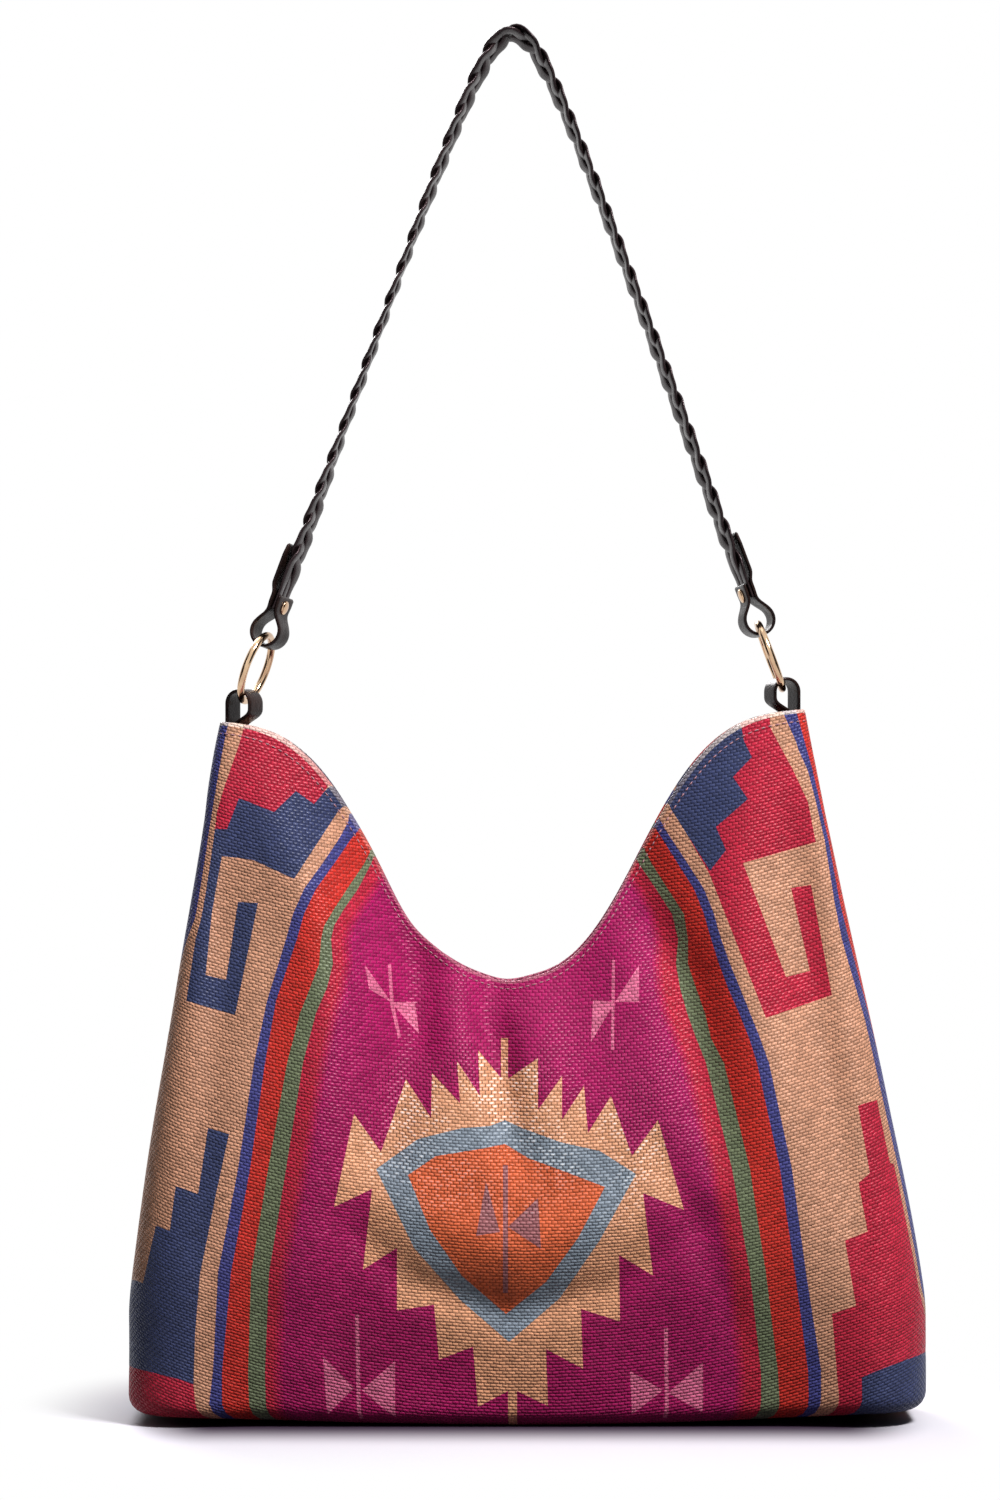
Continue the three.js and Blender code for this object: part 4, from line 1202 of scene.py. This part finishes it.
def catmull(points, steps):
    """Centripetal curve through points, as a fine polyline."""
    pts = [np.array(p, float) for p in points]
    pts = [2 * pts[0] - pts[1]] + pts + [2 * pts[-1] - pts[-2]]
    out = []
    for i in range(1, len(pts) - 2):
        p0, p1, p2, p3 = pts[i - 1:i + 3]
        d0, d1, d2 = (np.linalg.norm(b - a) ** 0.5 for a, b in ((p0, p1), (p1, p2), (p2, p3)))
        m1 = ((p1 - p0) / d0 - (p2 - p0) / (d0 + d1) + (p2 - p1) / d1) * d1
        m2 = ((p2 - p1) / d1 - (p3 - p1) / (d1 + d2) + (p3 - p2) / d2) * d1
        for k in range(steps):
            t = k / steps
            out.append((2 * t ** 3 - 3 * t ** 2 + 1) * p1 + (t ** 3 - 2 * t ** 2 + t) * m1
                       + (3 * t ** 2 - 2 * t ** 3) * p2 + (t ** 3 - t ** 2) * m2)
    out.append(pts[-2])
    return np.array(out)


def strap_route():
    """Middle line of the strap, from one folded end over the crown to the other, and its length so far."""
    legs = [[np.array(ring_centre(sign) + lean_up(sign) * h) for h in LEG_HEIGHTS] for sign in (-1, 1)]
    crown_x = (legs[0][2][0] + legs[1][2][0]) / 2
    for leg, sign in zip(legs, (-1, 1)):
        drop = STRAP_TOP - leg[2][2]
        steep = drop / (math.hypot(leg[2][0] - crown_x, STRAP_CROWN) - STRAP_CROWN)
        for part in CROWN_PARTS:
            half = math.sqrt((drop * part / steep + STRAP_CROWN) ** 2 - STRAP_CROWN ** 2)
            leg.append(np.array((crown_x + sign * half, 0, STRAP_TOP - drop * part)))
    points = legs[0] + [np.array((crown_x, 0, STRAP_TOP))] + legs[1][::-1]
    return even_steps(catmull(points, 24), STRAP_STEP)


def strap_twist(distance, length):
    held = TAIL_TOP - END_THROAT
    steps = len(STRAP_TWIST) - 1
    t = np.clip((distance - held) / (length - 2 * held), 0, 1) * steps
    i = np.minimum(np.floor(t).astype(int), steps - 1)
    twist = np.array(STRAP_TWIST, float)
    return np.radians(-(twist[i] + (twist[i + 1] - twist[i]) * smoothstep(t - i, 0, 1)))


def braid_phase(distance, length, turns):
    """Angle of the braid along the strap, at rest in the ends and easing in and out of its pace."""
    pace = turns * 2 * math.pi / (length - 2 * FLAT_START - BRAID_EASE)
    start = distance - FLAT_START
    back = length - FLAT_START - distance
    phase = pace * (start - BRAID_EASE / 2)
    phase = np.where(start < BRAID_EASE, pace * start ** 2 / (2 * BRAID_EASE), phase)
    phase = np.where(back < BRAID_EASE, turns * 2 * math.pi - pace * back ** 2 / (2 * BRAID_EASE), phase)
    phase = np.where(start <= 0, 0, phase)
    return np.where(back <= 0, turns * 2 * math.pi, phase)


def strand_mesh(name, offset):
    """One strand, swaying and lifting over the others, and flat between the plies of the folded ends."""
    line, run = strap_route()
    length = run[-1]
    turns = round((length - 2 * FLAT_START - BRAID_EASE) / (BRAID_PITCH / 6)) / 6
    tangent = unit(np.gradient(line, axis=0))
    twist = strap_twist(run, length)[:, None]
    side = np.array((0.0, 1.0, 0.0))
    across = np.cos(twist) * side + np.sin(twist) * unit(np.cross(tangent, side))
    out = np.cross(tangent, across)
    phase = braid_phase(run, length, turns) + offset
    from_end = np.minimum(run, length - run) - FLAT_START
    narrow = 1 - smoothstep(from_end, 0, BRAID_EASE * 0.5)
    settle = 1 - smoothstep(from_end, -1, BRAID_EASE * 0.55)
    sway = BRAID_SWAY * np.sin(phase)
    half_width = STRAND_WIDTH / 2 * np.hypot(1, np.gradient(sway, run))
    half_width = half_width + (STRAND_END_WIDTH / 2 - half_width) * narrow
    lane = np.round(np.sin(phase) / math.sin(math.pi / 3))
    sway = sway + (lane * STRAND_END_SPACING - sway) * settle
    lift = BRAID_LIFT * (np.sin(2 * phase) + 0.5 * np.sin(4 * phase)) / 1.5 * (1 - settle)
    tilt = (BRAID_TILT * np.cos(phase) * (1 - settle))[:, None]
    thick = STRAND_THICK + (STRAND_END_THICK - STRAND_THICK) * settle
    c, s = np.cos(circle(20)), np.sin(circle(20))
    wide = np.sign(c) * np.abs(c) ** 0.72
    u = half_width[:, None] * wide
    v = thick[:, None] / 2 * np.sign(s) * np.abs(s) ** 0.8
    a = sway[:, None] + u * np.cos(tilt) - v * np.sin(tilt)
    b = lift[:, None] + u * np.sin(tilt) + v * np.cos(tilt)
    rings = line[:, None] + a[..., None] * across[:, None] + b[..., None] * out[:, None]
    return make_mesh(name, rings.reshape(-1, 3), tube_faces(*a.shape), tube_uv(run, 4 * wide))


for k in range(3):
    strand = strand_mesh("strand_%d_lace" % (k + 1), k * 2 * math.pi / 3)
    finish_piece(strand, BRAID_LEATHER, "strap", "strap_leather", "strap_strand_%d" % (k + 1))


# The magnetic snap keeps its own meshes

for node in ("snap_socket", "snap_stud", "snap_washer_front", "snap_washer_back"):
    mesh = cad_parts[node].data
    mesh.materials.clear()
    mesh.materials.append(GOLD)


# Studio

BOUNCE_LEVEL = 0.12
# Half size in metres of the box round the bag where the floor's shadow is painted, and how much faster it
# fades along X
SHADE_HALF = (0.155, 0.03)
SHADE_NARROW = 3.2
FLOOR_DROP = 0.0004


def floor_material():
    """Pale floor with a painted dark shadow round the bag, on top of the real shadow, and white further off.
    """
    n = Surface("studio_floor")
    split = n.add("SeparateXYZ", n.object_place())
    away = (n.math("SUBTRACT", n.math("ABSOLUTE", split.outputs[i]), SHADE_HALF[i]) for i in range(2))
    dx, dy = (n.math("MAXIMUM", d, 0.0) for d in away)
    wide = n.math("MULTIPLY", dx, n.math("MULTIPLY", dx, SHADE_NARROW))
    far = n.math("SQRT", n.math("ADD", wide, n.math("MULTIPLY", dy, dy)))
    seen = n.seen()
    pale = n.mix(seen, (BOUNCE_LEVEL,) * 3, (0.70, 0.68, 0.74))
    # Painted shadow: the floor turns dark violet near the bag, whatever the light, and pale further off
    close = n.ramp(far, 0.010, 0.088, 0.0, 1.0)
    n.set(Base_Color=n.mix(close, (0.045, 0.028, 0.05), pale), Roughness=0.9, Specular_IOR_Level=0.0)
    white = n.math("MULTIPLY", seen, n.ramp(far, 0.06, 0.2, 0.0, 1.0))
    blend = n.add("MixShader", white, n.shader.outputs[0], n.add("Emission").outputs[0])
    n.plug(n.out.inputs[0], blend.outputs[0])
    return n.material


def plane(name, size, location, rotation, material):
    s = size / 2 * 1000
    obj = make_mesh(name, [(-s, -s, 0), (s, -s, 0), (s, s, 0), (-s, s, 0)], [(0, 1, 2, 3)], smooth=False)
    obj.location = location
    obj.rotation_euler = rotation
    obj.data.materials.append(material)
    return obj


plane("floor", 60, (0, 0, -FLOOR_DROP), (0, 0, 0), floor_material())

# Dark cards beside the bag, seen only in reflections
for name, x in (("card_left", -1.15), ("card_right", 1.15)):
    n = Surface(name + "_black")
    n.set(Base_Color=(0.015, 0.015, 0.018), Roughness=0.9)
    card = plane(name, 1.7, (x, -0.5, 0.85), (0, math.pi / 2, 0), n.material)
    card.visible_camera = False

# Name, place, target, width, height and power of each lamp
LAMPS = [
    ("key", (1.15, -1.35, 2.35), (0, 0, 0.2), 0.7, 0.6, 122),
    ("fill", (-1.7, -1.9, 1.0), (0, 0, 0.25), 1.0, 1.0, 3.5),
    ("top", (-0.3, 0.5, 2.3), (0, 0, 0.1), 1.2, 1.2, 8),
    ("back", (-0.7, 2.1, 1.7), (0, 0, 0.2), 1.2, 1.2, 60),
]
scene = bpy.context.scene
for name, location, target, wide, tall, power in LAMPS:
    data = bpy.data.lights.new(name, "AREA")
    data.shape = "RECTANGLE"
    data.size = wide
    data.size_y = tall
    data.energy = power
    lamp = bpy.data.objects.new(name, data)
    lamp.location = location
    lamp.rotation_euler = (Vector(target) - Vector(location)).to_track_quat("-Z", "Y").to_euler()
    scene.collection.objects.link(lamp)

scene.world = bpy.data.worlds.new("studio")
world = Nodes(scene.world, "OutputWorld")
level = world.add("MapRange", world.seen(), 0.0, 1.0, BOUNCE_LEVEL, 1.0).outputs[0]
background = world.add("Background", (1.0, 1.0, 1.0), level)
world.plug(world.out.inputs[0], background.outputs[0])

# Camera at the eye of the front view
camera_data = bpy.data.cameras.new("view")
camera_data.sensor_fit = "VERTICAL"
camera_data.sensor_height = CAMERA_SENSOR
camera_data.lens = CAMERA_SENSOR * VIEW_DISTANCE / (VIEW_HEIGHT * PIXEL)
camera_data.clip_end = 100
camera = bpy.data.objects.new("view", camera_data)
camera.location = (CAMERA_X / 1000, -VIEW_DISTANCE / 1000, CAMERA_Z / 1000)
camera.rotation_euler = (math.pi / 2, 0, 0)
scene.collection.objects.link(camera)
scene.camera = camera
scene.view_settings.view_transform = "Standard"
